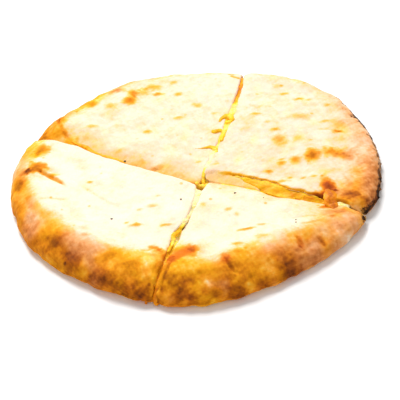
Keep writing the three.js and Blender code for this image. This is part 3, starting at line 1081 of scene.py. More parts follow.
class Wiring:
    """A new material with a Principled shader, and short ways to add the nodes that the finishes share."""

    def __init__(self, name: str) -> None:
        """Makes the material, with its shader, its output and the place on the object."""
        self.material = bpy.data.materials.new(name)
        self.material.use_nodes = True
        self.tree = self.material.node_tree
        self.tree.nodes.clear()
        self.shader = self.add("ShaderNodeBsdfPrincipled")
        self.add("ShaderNodeOutputMaterial", inputs={"Surface": self.shader.outputs[0]})
        self.place = self.add("ShaderNodeTexCoord").outputs["Object"]

    def add(
        self, kind: str, settings: Settings | None = None, inputs: Settings | None = None
    ) -> bpy.types.Node:
        """Adds a node with its settings and its inputs.

        Args:
            kind: Blender's name for the kind of node.
            settings: Settings by name.
            inputs: Values or sockets to link, by the input's name or number.

        Returns:
            The node.
        """
        node = self.tree.nodes.new(kind)
        for setting, value in (settings or {}).items():
            setattr(node, setting, value)
        self.fill(node, inputs or {})
        return node

    def fill(self, node: bpy.types.Node, inputs: Settings) -> None:
        """Links or sets inputs of a node, by the input's name or number."""
        for key, value in inputs.items():
            if isinstance(value, Socket):
                self.tree.links.new(value, node.inputs[key])
            else:
                node.inputs[key].default_value = value

    def attribute(self, name: str) -> Socket:
        """Returns the value of a mesh's named attribute."""
        return self.add("ShaderNodeAttribute", {"attribute_name": name}).outputs["Fac"]

    def noise(self, size: float, detail: float = 2.0, roughness: float = 0.5) -> Socket:
        """Returns cloudy noise, with its size in metres."""
        inputs = {"Vector": self.place, "Scale": 1 / size, "Detail": detail, "Roughness": roughness}
        return self.add("ShaderNodeTexNoise", inputs=inputs).outputs["Fac"]

    def maths(self, operation: str, *values: Socket | float) -> Socket:
        """Returns the result of Blender's named operation on two or three values."""
        return self.add("ShaderNodeMath", {"operation": operation}, dict(enumerate(values))).outputs[0]

    def remap(self, value: Socket, source: Pair, result: Pair, kind: str = "LINEAR") -> Socket:
        """Returns a value mapped from one range to another and held inside it.

        Args:
            value: The value.
            source: The range that it is read in.
            result: The range that it is turned to.
            kind: Blender's name for the way between.

        Returns:
            The mapped value.
        """
        inputs = {"Value": value, "From Min": source[0], "From Max": source[1]}
        inputs |= {"To Min": result[0], "To Max": result[1]}
        return self.add("ShaderNodeMapRange", {"interpolation_type": kind}, inputs).outputs["Result"]

    def mix(self, share: Socket, under: Socket, over: Socket | Colour) -> Socket:
        """Returns one colour with another laid over it by a share."""
        inputs = {"Factor": share, 6: under, 7: over}
        return self.add("ShaderNodeMix", {"data_type": "RGBA"}, inputs).outputs[2]

    def colours(self, value: Socket, stops: Stops) -> Socket:
        """Returns the colour of a value between stops, which run from low to high."""
        ramp = self.add("ShaderNodeValToRGB", inputs={"Fac": value})
        elements = ramp.color_ramp.elements
        while len(elements) > 1:
            elements.remove(elements[-1])
        elements[0].position = stops[0][0]
        elements[0].color = linear(stops[0][1])
        for place, code in stops[1:]:
            elements.new(place).color = linear(code)
        return ramp.outputs["Color"]

    def bump(self, height: Socket, depth: float, strength: float) -> Socket:
        """Returns normals bent by a height, with its depth in metres."""
        inputs = {"Height": height, "Distance": depth, "Strength": strength}
        return self.add("ShaderNodeBump", inputs=inputs).outputs["Normal"]

    def finish(self, inputs: Settings) -> Finish:
        """Links or sets the shader's inputs and returns the material."""
        self.fill(self.shader, inputs)
        return self.material


@dataclass(frozen=True)
class BakedDough:
    """Naan dough baked in a hot oven: a matt, floury, cream crust that turns golden, orange and brown.

    The eye sees soft cream with toasted blisters, a rim that runs from tan to dark brown in blotches,
    powdery char at the very edge, and a moist pale crumb where the bread is cut.
    """

    toast_stops: Stops = (
        (0.00, "EFD2BA"), (0.10, "EEC49A"), (0.20, "EEBC6E"), (0.31, "EDA640"),
        (0.43, "E38E20"), (0.56, "CD7610"), (0.68, "AB5A0A"), (0.80, "84400D"),
        (0.90, "5E2C0F"), (1.00, "3A2010"),
    )
    # Where butter and heat made the crust golden, and where flour keeps it rosy
    golden_stops: Stops = (
        (0.00, "F2DDA8"), (0.20, "F1C555"), (0.35, "ECA61A"), (0.50, "D98A08"),
        (0.68, "AA6206"), (0.90, "5A300C"),
    )
    rosy_stops: Stops = (
        (0.00, "F3DAC2"), (0.20, "EFC3A0"), (0.35, "E3A26C"), (0.50, "CC8046"),
        (0.68, "A25626"), (0.90, "5E3018"),
    )
    cast_most: float = 0.9
    oil_stops: Stops = (
        (0.15, "EA8A04"), (0.40, "DC6E04"), (0.60, "B64C08"), (0.85, "702E0C"),
    )
    pale: str = "F3E4CB"
    pale_until: float = 0.22
    crumb: str = "F9D078"
    char: str = "2A1B14"
    char_ragged: float = 0.9
    char_range: Pair = (0.35, 0.8)
    # Three sizes of mottling over one another
    mottle_mm: float = 13.0
    blotch_mm: float = 4.5
    grain_mm: float = 1.3
    noise_roughness: float = 0.6
    grain_share: float = 0.7
    noise_middle: float = 1.35
    uneven_range: Pair = (0.05, 0.4)
    unevenness: Pair = (0.16, 0.17)
    # Small toasted freckles, in some places only
    freckle_mm: float = 9.0
    freckle_ring: Pair = (0.07, 0.2)
    freckle_choice: Pair = (0.55, 1.0)
    freckle_toast: float = 0.2
    # Fine pores and grain of the crust, too small to be shaped
    pore_mm: float = 2.2
    pore_softness: float = 0.6
    pore_grain: float = 0.6
    bump_mm: float = 0.35
    bump_strength: float = 0.6
    # How light meets it
    roughness: float = 0.78
    oily_roughness: float = 0.56
    ior: float = 1.42
    specular: float = 0.1
    scatter: float = 0.12
    scatter_radius: Triple = (1.0, 0.55, 0.25)
    scatter_mm: float = 2.2

    def build(self) -> Finish:
        """Builds the material, which reads the attributes toast, pale, char, crumb, oil and tint."""
        wiring = Wiring("baked_naan_dough")
        names = ("toast", "pale", "char", "crumb", "oil", "tint")
        toast, pale, char, crumb, oil, tint = (wiring.attribute(name) for name in names)
        mottle = wiring.noise(self.mottle_mm * MM, 3.0, self.noise_roughness)
        blotch = wiring.noise(self.blotch_mm * MM, 4.0, self.noise_roughness)
        grain = wiring.noise(self.grain_mm * MM, 5.0, self.noise_roughness)
        toast = wiring.maths("ADD", toast, self.freckles(wiring))
        # Browned crust is a little more uneven than pale crust
        unevenness = wiring.remap(toast, self.uneven_range, self.unevenness)
        mixed = wiring.maths("MULTIPLY_ADD", grain, self.grain_share, wiring.maths("ADD", mottle, blotch))
        centred = wiring.maths("SUBTRACT", mixed, self.noise_middle)
        tone = wiring.maths("MULTIPLY_ADD", centred, unevenness, toast)
        colour = wiring.colours(tone, self.toast_stops)
        for stops, most in ((self.golden_stops, -1.0), (self.rosy_stops, 1.0)):
            share = wiring.remap(tint, (0.0, most), (0.0, self.cast_most))
            colour = wiring.mix(share, colour, wiring.colours(tone, stops))
        fresh = wiring.remap(tone, (0.0, self.pale_until), (1.0, 0.0))
        colour = wiring.mix(wiring.maths("MULTIPLY", fresh, pale), colour, linear(self.pale))
        colour = wiring.mix(crumb, colour, linear(self.crumb))
        colour = wiring.mix(oil, colour, wiring.colours(tone, self.oil_stops))
        charred = wiring.maths("MULTIPLY_ADD", centred, self.char_ragged, char)
        charred = wiring.remap(charred, self.char_range, (0.0, 1.0), "SMOOTHSTEP")
        cells = {"Vector": wiring.place, "Scale": 1 / (self.pore_mm * MM), "Smoothness": self.pore_softness}
        pores = wiring.add("ShaderNodeTexVoronoi", {"feature": "SMOOTH_F1"}, cells).outputs["Distance"]
        height = wiring.maths("MULTIPLY_ADD", grain, self.pore_grain, pores)
        return wiring.finish(
            {
                "Base Color": wiring.mix(charred, colour, linear(self.char)),
                "Roughness": wiring.remap(oil, (0.0, 1.0), (self.roughness, self.oily_roughness)),
                "Normal": wiring.bump(height, self.bump_mm * MM, self.bump_strength),
                "IOR": self.ior,
                "Specular IOR Level": self.specular,
                "Subsurface Weight": self.scatter,
                "Subsurface Radius": self.scatter_radius,
                "Subsurface Scale": self.scatter_mm * MM,
            }
        )

    def freckles(self, wiring: Wiring) -> Socket:
        """Returns the toast of the freckles: a dot in each cell that is chosen for one."""
        cells = {"Vector": wiring.place, "Scale": 1 / (self.freckle_mm * MM), "Randomness": 1.0}
        freckle = wiring.add("ShaderNodeTexVoronoi", {"feature": "F1"}, cells)
        dot = wiring.remap(freckle.outputs["Distance"], self.freckle_ring, (1.0, 0.0), "SMOOTHSTEP")
        parts = wiring.add("ShaderNodeSeparateColor", inputs={"Color": freckle.outputs["Color"]})
        chosen = wiring.remap(parts.outputs[0], self.freckle_choice, (0.0, self.freckle_toast))
        return wiring.maths("MULTIPLY", dot, chosen)


@dataclass(frozen=True)
class MeltedCheese:
    """Mild yellow cheese melted in the oven: soft, golden, a little glassy, with an oily shine."""

    stops: Stops = (
        (0.00, "FBEAB2"), (0.22, "F8D65A"), (0.42, "F4C120"), (0.60, "EAAC12"),
        (0.74, "E5990C"), (0.86, "E28606"), (1.00, "B85C06"),
    )
    cloud_mm: float = 6.0
    cloud_roughness: float = 0.55
    thread_mm: float = 1.8
    thread_roughness: float = 0.6
    thread_share: float = 0.35
    noise_middle: float = 0.675
    unevenness: float = 0.6
    bump_mm: float = 0.2
    bump_strength: float = 0.5
    roughness: Pair = (0.38, 0.62)
    roughness_from: Pair = (0.3, 0.7)
    ior: float = 1.45
    specular: float = 0.16
    scatter: float = 0.35
    scatter_radius: Triple = (1.0, 0.6, 0.15)
    scatter_mm: float = 2.5

    def build(self) -> Finish:
        """Builds the material, which reads the attribute tone."""
        wiring = Wiring("melted_cheese")
        cloud = wiring.noise(self.cloud_mm * MM, 3.0, self.cloud_roughness)
        threads = wiring.noise(self.thread_mm * MM, 4.0, self.thread_roughness)
        both = wiring.maths("MULTIPLY_ADD", threads, self.thread_share, cloud)
        centred = wiring.maths("SUBTRACT", both, self.noise_middle)
        tone = wiring.maths("MULTIPLY_ADD", centred, self.unevenness, wiring.attribute("tone"))
        return wiring.finish(
            {
                "Base Color": wiring.colours(tone, self.stops),
                "Roughness": wiring.remap(threads, self.roughness_from, self.roughness),
                "Normal": wiring.bump(both, self.bump_mm * MM, self.bump_strength),
                "IOR": self.ior,
                "Specular IOR Level": self.specular,
                "Subsurface Weight": self.scatter,
                "Subsurface Radius": self.scatter_radius,
                "Subsurface Scale": self.scatter_mm * MM,
            }
        )


@dataclass(frozen=True)
class Soot:
    """Burnt flour and crumb: matt, near black, with a brown cast."""

    stops: Stops = ((0.4, "241A14"), (0.7, "4A3A2E"))
    roughness: float = 0.9
    grain_mm: float = 0.6

    def build(self) -> Finish:
        """Builds the material."""
        wiring = Wiring("burnt_crumb")
        grain = wiring.noise(self.grain_mm * MM, 3.0)
        return wiring.finish({"Base Color": wiring.colours(grain, self.stops), "Roughness": self.roughness})


@dataclass(frozen=True)
class PaleFloor:
    """A plain pale studio floor: painted board, matt and even."""

    stops: Stops = ((0.35, "EEEDEC"), (0.65, "F4F3F2"))
    roughness: float = 0.6
    cloud_m: float = 0.4

    def build(self) -> Finish:
        """Builds the material."""
        wiring = Wiring("pale_floor")
        cloud = wiring.noise(self.cloud_m)
        return wiring.finish({"Base Color": wiring.colours(cloud, self.stops), "Roughness": self.roughness})


@dataclass
class Marks:
    """What the spots and creases do to the crust at each place.

    Attributes:
        toast: How brown they make it.
        height: How far they raise or sink it.
        oil: How soaked with orange oil it is, from 0 to 1.
        tint: Its cast, golden below zero and rosy above.
    """

    toast: Array
    height: Array
    oil: Array
    tint: Array


@dataclass(frozen=True)
class BreadQuarter:
    """The dough and crust of one quarter, with its pocket open at the cut faces.

    Attributes:
        quarter: Its form.
        finish: Its finish.
    """

    quarter: Quarter
    finish: Finish
    facets: Facets = Facets(out=(35, 4), across=(57, 4), up=(12, 1))
    smooth_angle: float = 62
    # The pocket reaches past the cut faces, and stays a little off the filling
    pocket_facets: Facets = Facets(out=(15, 4), across=(22, 4), up=(2, 1))
    pocket_past_cut: float = 9.0
    pocket_tip: float = 0.2
    pocket_toast: float = 0.30
    clearance: float = 0.12
    # Uneven fields: seed, size from swell to swell, and height
    crust_relief: Fields = ((11, 19.0, 0.24), (12, 9.0, 0.11), (13, 4.0, 0.03))
    rim_relief: Fields = ((21, 17.0, 0.36), (22, 8.0, 0.14), (23, 3.6, 0.03))
    crumb_relief: Fields = ((31, 4.6, 0.11), (32, 2.1, 0.08))
    char_teeth: Fields = ((41, 11.0, 1.0), (42, 4.0, 0.4))
    cut_wander: Fields = ((51, 16.0, 0.14), (52, 5.0, 0.08))
    mark_edges: Fields = ((61, 6.0, 0.7), (62, 2.6, 0.5))
    broad_tones: Fields = ((81, 22.0, 1.0),)
    fine_tones: Fields = ((82, 8.0, 1.0),)
    grain_tones: Fields = ((83, 4.2, 0.6), (84, 2.3, 0.5))
    rim_casts: Fields = ((85, 38.0, 0.45),)
    crust_casts: Fields = ((86, 13.0, 0.2),)
    base_spots: Fields = ((91, 17.0, 1.0), (92, 6.0, 0.6))
    # Shape of the surface
    rim_loss: float = 0.4
    rim_insets: Pair = (24, 6)
    crumb_setback: float = 0.2
    rim_setback: float = 0.35
    setback_insets: Pair = (3, 0)
    flat_base_inset: float = 3
    cut_wander_width: float = 3.0
    cut_wander_rise: float = 6
    # The rim at the back is thin and smooth
    smooth_rim_at: float = 90
    smooth_rim_spread: float = 55
    smooth_rim_loss: float = 0.6
    # The charred edge is bitten away in small teeth
    char_bite: float = 1.3
    teeth_most: float = 1.6
    bite_insets: Pair = (5, 0)
    # How spots and creases fade, in units of their size
    mark_warp: float = 0.13
    spot_fade: Pair = (1.6, 0.0)
    spot_oil_fade: Pair = (1.4, 0.5)
    line_spread: float = 1.5
    line_oil_fade: Pair = (1.5, 0.5)
    lip_crest: float = 0.6
    lip_spread: float = 0.5
    # Toast of the crust, with its mottling for the broad, the fine and the grainy field
    plain_toast: float = 0.04
    plain_mottle: Pair = (0.02, 0.01)
    pale_grain: float = 0.006
    plain_grain: float = 0.02
    rim_mottle: Triple = (0.09, 0.07, 0.08)
    rim_full_at: float = 0.26
    rim_ragged: Pair = (0.1, 0.8)
    rim_edge_toast: float = 0.16
    rim_edge_insets: Pair = (8, 0)
    # The lowest strip of the rim stays pale where it curls under
    below_heights: Pair = (4.2, 1.2)
    below_insets: Pair = (12, 2)
    below_loss: float = 0.45
    # Toast of the underside, as plain, spots and mottling, and of the cut faces
    base_inset: float = 6
    base_toast: Triple = (0.22, 0.4, 0.03)
    base_spot_range: Pair = (0.5, 1.5)
    base_cast: float = 0.3
    crumb_toast: float = 0.08
    crumb_rim_toast: float = 0.75
    crumb_low_share: float = 0.5
    crumb_heights: Pair = (0.0, 0.8)
    crumb: float = 0.85
    crumb_until: Pair = (0.1, 0.3)
    # Peach tone where the crust slopes into a cut and on the lowered ledge: partly the dough's colour, partly
    # painted shade where that surface slopes away from the light; golden dough at the ledge's step
    slope_shade_toast: float = 0.036
    ledge_shade_toast: float = 0.12
    step_toast: float = 0.30
    step_from: Pair = (8, 20)
    bare_toast: float = 0.25
    rim_cast_from: Pair = (0.04, 0.2)
    step_cast: float = 1.4
    ledge_cast: float = 0.45
    # Char at the very edge: wider at the right tip, where it is partly painted shade of the tip's dark
    # underside, and a burnt band at the right
    char_inset: float = 1.4
    tip_char_and_shade_inset: float = 2.4
    tip_char_and_shade_at: float = -27
    tip_char_and_shade_spread: float = 12
    burnt_inset: float = 5.0
    burnt_at: float = 20
    burnt_spread: float = 30
    burnt_ragged: float = 0.3
    char_full_inset: float = 0.2
    burnt_full_share: float = 0.6
    char_on_crumb: float = 0.2

    @property
    def node(self) -> str:
        """Returns the name of the solid that the bread stands for."""
        return f"bread_{self.quarter.plan.name}"

    def build(self) -> Piece:
        """Builds the bread and returns it."""
        block = add_block(f"{self.node}_baked", self.facets)
        self.shape(block)
        pocket = self.pocket()
        apply_modifier(block, "BOOLEAN", {"operation": "DIFFERENCE", "object": pocket, "solver": "MANIFOLD"})
        remove(pocket)
        return self.dress(block)

    def shape(self, block: Piece) -> None:
        """Bends the block into the quarter, adds its relief and writes the tones of its crust."""
        quarter = self.quarter
        shares = points_of(block) + 0.5
        across = quarter.crowd(shares[:, 1])
        up = shares[:, 2]
        out = 1 - (1 - shares[:, 0]) ** quarter.row_crowding
        blunt = quarter.blunt_at(across)
        distance = blunt + (quarter.reach_at(across) - blunt) * out
        flat = quarter.places(across, distance)
        top, under = quarter.surfaces(flat)
        on_rim = shares[:, 0] > 1 - TINY
        bulge = np.where(on_rim, quarter.wall_bulge * np.sin(math.pi * up), 0)
        wall = quarter.places(across, distance + bulge, self.wander(flat, shares))
        flat.x, flat.y = wall.x, wall.y
        marks = self.marks(flat)
        top = top + np.where(up > 0.5, marks.height, 0) - quarter.edge_round_drop * self.rounding(flat)
        z = under + (top - under) * up
        set_points(block, to_frame(flat.x, flat.y, z))
        cut_face = np.minimum(shares[:, 1], 1 - shares[:, 1]) < TINY
        point_face = shares[:, 0] < TINY
        inside = (cut_face | point_face) & (up < 1 - TINY)
        self.roughen(block, flat, inside, up)
        self.write_tones(block, flat, inside, up, z, marks)

    def wander(self, places: Places, shares: Array) -> Array:
        """Returns how far a cut face strays sideways, as a blade's cut through soft bread does."""
        width = self.cut_wander_width
        near = np.maximum(fade(places.from_start, width), fade(places.from_end, width))
        plan = np.column_stack([places.x, places.y, shares[:, 2] * self.cut_wander_rise])
        return near * relief(self.cut_wander, plan)

    def rounding(self, places: Places) -> Array:
        """Returns how far the top edges of the cut faces are rounded off, from 0 to 1."""
        width = self.quarter.edge_round
        return np.maximum(fade(places.from_start, width), fade(places.from_end, width))

    def marks(self, places: Places) -> Marks:
        """Lays the toasted spots, a few of them partly painted shade, and the creases over the crust.

        Args:
            places: Where.

        Returns:
            What they do there.
        """
        plan = np.column_stack([places.x, places.y, 0 * places.x])
        warp = 1 + self.mark_warp * relief(self.mark_edges, plan)
        toast, raised, oil, tint, line_toast, sunk = (0 * places.x for _ in range(6))
        for spot in SPOTS:
            away = np.hypot((places.x - spot.x) / spot.wide, (places.y - spot.y) / spot.deep) * warp
            share = smooth(away, *self.spot_fade)
            toast = toast + spot.toast * share
            raised = raised + spot.raised * bell(away)
            oil = oil + spot.oil * smooth(away, *self.spot_oil_fade)
            tint = tint + spot.tint * share
        for crease in CREASES:
            signed, strength = crease.offset(places.x, places.y)
            away = np.abs(signed)
            groove = bell(away / crease.width) * strength
            lip = bell((away - self.lip_crest * crease.lip_width) / (self.lip_spread * crease.lip_width))
            sunk = sunk + crease.lip * np.where(signed > 0, lip, 0) * strength - crease.depth * groove
            line = bell(away * warp / (crease.width * self.line_spread))
            line_toast = line_toast + crease.toast * line * strength
            oil = oil + crease.oil * smooth(away * warp / crease.width, *self.line_oil_fade) * strength
        return Marks(toast + line_toast, raised + sunk, np.clip(oil, 0, 1), tint)

    def roughen(self, block: Piece, places: Places, inside: Array, up: Array) -> None:
        """Moves the surface out and in along its normals.

        Args:
            block: The bent block.
            places: Where its corners lie.
            inside: Which corners are on a cut face.
            up: Share of the way from underside to top.
        """
        points = points_of(block)
        normals = normals_of(block)
        scaled = points / MM
        rim = smooth(places.inset, *self.rim_insets)
        back = bell(turn_between(places.bearing, self.smooth_rim_at) / self.smooth_rim_spread)
        move = relief(self.crust_relief, scaled) * (1 - self.rim_loss * rim)
        move = move + relief(self.rim_relief, scaled) * rim * (1 - self.smooth_rim_loss * back)
        move = np.where(inside, relief(self.crumb_relief, scaled) - self.crumb_setback, move)
        move = np.where((up < TINY) & (places.inset > self.flat_base_inset), 0, move)
        teeth = sum(size * np.abs(Ripples(seed, length).at(scaled)) for seed, length, size in self.char_teeth)
        bites = self.char_bite * self.rim_value(places.bearing, "char") * np.minimum(teeth, self.teeth_most)
        move = move - np.where(inside, 0, bites * smooth(places.inset, *self.bite_insets))
        move = move - self.rim_setback * smooth(places.inset, *self.setback_insets)
        set_points(block, keep_in_box(points + normals * (move * MM)[:, None]))

    @staticmethod
    def rim_value(bearing: Array, name: str) -> Array:
        """Returns a value of the rim's tones, read round the whole at the given bearings."""
        bearings = [tone.bearing for tone in RIM_TONES]
        values = [getattr(tone, name) for tone in RIM_TONES]
        return np.interp(bearing, bearings, values)

    def rim_toast(self, places: Places, broad: Array, fine: Array) -> Array:
        """Returns how brown the rim is, most at its edge.

        Args:
            places: Where.
            broad: A broad uneven field there.
            fine: A finer one.
        """
        level = self.rim_value(places.bearing, "toast")
        reach = self.rim_value(places.bearing, "reach")
        inset = places.inset * (1 + self.rim_ragged[0] * broad) + self.rim_ragged[1] * fine
        rim = level * smooth(inset, reach, reach * self.rim_full_at)
        return rim + self.rim_edge_toast * smooth(inset, *self.rim_edge_insets) * level

    def char(self, places: Places, uneven: Array) -> Array:
        """Returns how charred the very edge of the rim is; the wider char at the right tip is partly painted
        shade.

        Args:
            places: Where.
            uneven: The uneven field that makes the burnt band ragged.
        """
        tip = bell(turn_between(places.bearing, self.tip_char_and_shade_at) / self.tip_char_and_shade_spread)
        band = bell(turn_between(places.bearing, self.burnt_at) / self.burnt_spread)
        burnt = self.burnt_inset * band * (1 + self.burnt_ragged * uneven)
        start = self.char_inset + self.tip_char_and_shade_inset * tip + burnt
        full = self.char_full_inset + self.burnt_full_share * burnt
        return self.rim_value(places.bearing, "char") * smooth(places.inset, start, full)

    def write_tones(
        self, block: Piece, places: Places, inside: Array, up: Array, z: Array, marks: Marks
    ) -> None:
        """Writes how brown, pale, charred, crumby and oily each place is, and of what cast; part of the brown
        and of the char is painted shade.

        Args:
            block: The bent block.
            places: Where its corners lie.
            inside: Which corners are on a cut face.
            up: Share of the way from underside to top.
            z: Height.
            marks: What the spots and creases do.
        """
        plan = np.column_stack([places.x, places.y, z])
        pale = self.quarter.plan.pale
        broad = relief(self.broad_tones, plan)
        fine = relief(self.fine_tones, plan)
        grain = relief(self.grain_tones, plan)
        rim = self.rim_toast(places, broad, fine)
        # Toast of the top and the rim
        base = self.plain_toast + self.plain_mottle[0] * broad + self.plain_mottle[1] * fine
        base = base + (self.pale_grain + self.plain_grain * (1 - pale)) * grain
        mottle = self.rim_mottle[0] * broad + self.rim_mottle[1] * fine + self.rim_mottle[2] * grain
        toast = base + rim * (1 + mottle) + marks.toast
        below = smooth(z, *self.below_heights) * smooth(places.inset, *self.below_insets)
        toast = toast * (1 - self.below_loss * below)
        # Toast of the underside and of the cut faces
        underside = (up < TINY) & (places.inset > self.base_inset)
        spots = smooth(relief(self.base_spots, plan), *self.base_spot_range)
        base = self.base_toast[0] + self.base_toast[1] * spots + self.base_toast[2] * fine
        toast = np.where(underside, base, toast)
        high = self.crumb_low_share + (1 - self.crumb_low_share) * smooth(up, *self.crumb_heights)
        toast = np.where(inside, self.crumb_toast + self.crumb_rim_toast * rim * high, toast)
        # Dough that shows beside the cuts; its peach tone on the slopes into the cuts is partly painted shade
        slope = self.quarter.plan.edges[1].drop * fade(places.from_end, self.quarter.plan.edges[1].width)
        ledge, _, bare = self.quarter.ledge(places)
        step = (1 - (2 * ledge - 1) ** 4) * smooth(places.distance, *self.step_from)
        dough = self.slope_shade_toast * np.maximum(slope, 0) + self.ledge_shade_toast * ledge
        dough = dough + self.step_toast * step + self.bare_toast * bare
        toast = toast + np.where(inside | underside, 0, dough)
        # Its cast
        cast = self.rim_value(places.bearing, "tint") + relief(self.rim_casts, plan)
        cast = cast * smooth(rim, *self.rim_cast_from) + marks.tint + relief(self.crust_casts, plan)
        cast = cast - self.step_cast * np.maximum(step, bare) - self.ledge_cast * ledge
        cast = np.where(underside, self.base_cast * broad, cast)
        char = self.char(places, fine + grain)
        crumb = self.crumb * (1 - smooth(rim, *self.crumb_until))
        set_layer(block, "toast", np.clip(toast, 0, 1))
        set_layer(block, "pale", pale * (1 - ledge))
        set_layer(block, "char", np.where(inside, self.char_on_crumb * char, char))
        set_layer(block, "crumb", np.where(inside, crumb, 0))
        set_layer(block, "oil", np.where(inside | underside, 0, marks.oil))
        set_layer(block, "tint", np.clip(cast, -1, 1))

    def pocket(self) -> Piece:
        """Builds the block that cuts the pocket of the filling out of the bread."""
        quarter = self.quarter
        pocket = add_block(f"{self.node}_pocket", self.pocket_facets)
        shares = points_of(pocket) + 0.5
        row, rows, line, lines = self.pocket_facets.grid(shares)
        across = quarter.crowd(np.clip((line - 1) / (lines - 2), 0, 1))
        share = np.clip((row - 1) / (rows - 2), 0, 1)
        end = quarter.reach_at(across) * quarter.pocket_end
        tip = quarter.blunt_at(across)
        nominal = tip + (end - tip) * share
        distance = np.where(row == 0, tip * self.pocket_tip, nominal)
        distance = np.where(row == rows, nominal + self.clearance, distance)
        past = np.where(line == 0, -1.0, np.where(line == lines, 1.0, 0.0)) * self.pocket_past_cut
        high, low = quarter.filling(quarter.places(across, nominal), share)
        place = quarter.places(across, distance, past)
        high = high + self.clearance
        low = low - self.clearance
        set_points(pocket, to_frame(place.x, place.y, low + (high - low) * shares[:, 2]))
        set_layer(pocket, "crumb", np.full(len(shares), self.crumb))
        set_layer(pocket, "toast", np.full(len(shares), self.pocket_toast))
        return pocket

    def dress(self, bread: Piece) -> Piece:
        """Gives the bread its finish and its place in the frame."""
        make_active(bread)
        bpy.ops.object.shade_smooth_by_angle(angle=math.radians(self.smooth_angle))
        set_finish(bread, self.finish)
        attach(bread, "root")
        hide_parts(self.node)
        return bread


@dataclass(frozen=True)
class CrustMap:
    """The built breads, to find how high the crust is."""

    breads: Sequence[Piece]
    rings_mm: tuple[float, ...] = (0.0, 1.0, 1.6, 2.4, 3.4)
    level_ring_mm: float = 3.0
    deepest: float = 2.0 * MM
    above: float = 0.1
    least: float = 4 * MM
    ring_points: int = 8

    def point(self, x: float, y: float) -> Vector | None:
        """Returns the place on the crust over a point of the plan, or None where there is none."""
        start = Vector(((x + CENTRE[0]) * MM, (y + CENTRE[1]) * MM, self.above))
        best = None
        for bread in self.breads:
            hit, place, _, _ = bread.ray_cast(start, Vector((0, 0, -1)))
            if hit and place.z > self.least and (best is None or place.z > best.z):
                best = place
        return best

    def ring(self, x: float, y: float, radius: float) -> list[float]:
        """Returns the heights of the crust found on a ring round a point of the plan."""
        found = []
        for step in range(self.ring_points if radius else 1):
            turn = step * 2 * math.pi / self.ring_points
            place = self.point(x + radius * math.cos(turn), y + radius * math.sin(turn))
            if place is not None:
                found.append(place.z)
        return found

    def height(self, x: float, y: float) -> float:
        """Returns the crust's height in metres; over a cut it is that of the crust on its edges."""
        level = max(self.ring(x, y, self.level_ring_mm), default=0.0)
        for radius in self.rings_mm:
            found = [height for height in self.ring(x, y, radius) if height > level - self.deepest]
            if found:
                return sum(found) / len(found)
        return level


@dataclass(frozen=True)
class Strand:
    """A strand or drop of melted cheese.

    Attributes:
        of: The filling that it belongs to.
        way: Places that it runs through: right, back, height over the crust, half width.
        tone: Its colour, from 0 for pale to 1 for deep.
        from_base: Whether its heights are over the base, not over the crust.
        flat: Its height for its width, since soft cheese sags on the crust.
    """

    of: str
    way: tuple[tuple[float, float, float, float], ...]
    tone: float = 0.5
    from_base: bool = False
    flat: float = 0.62


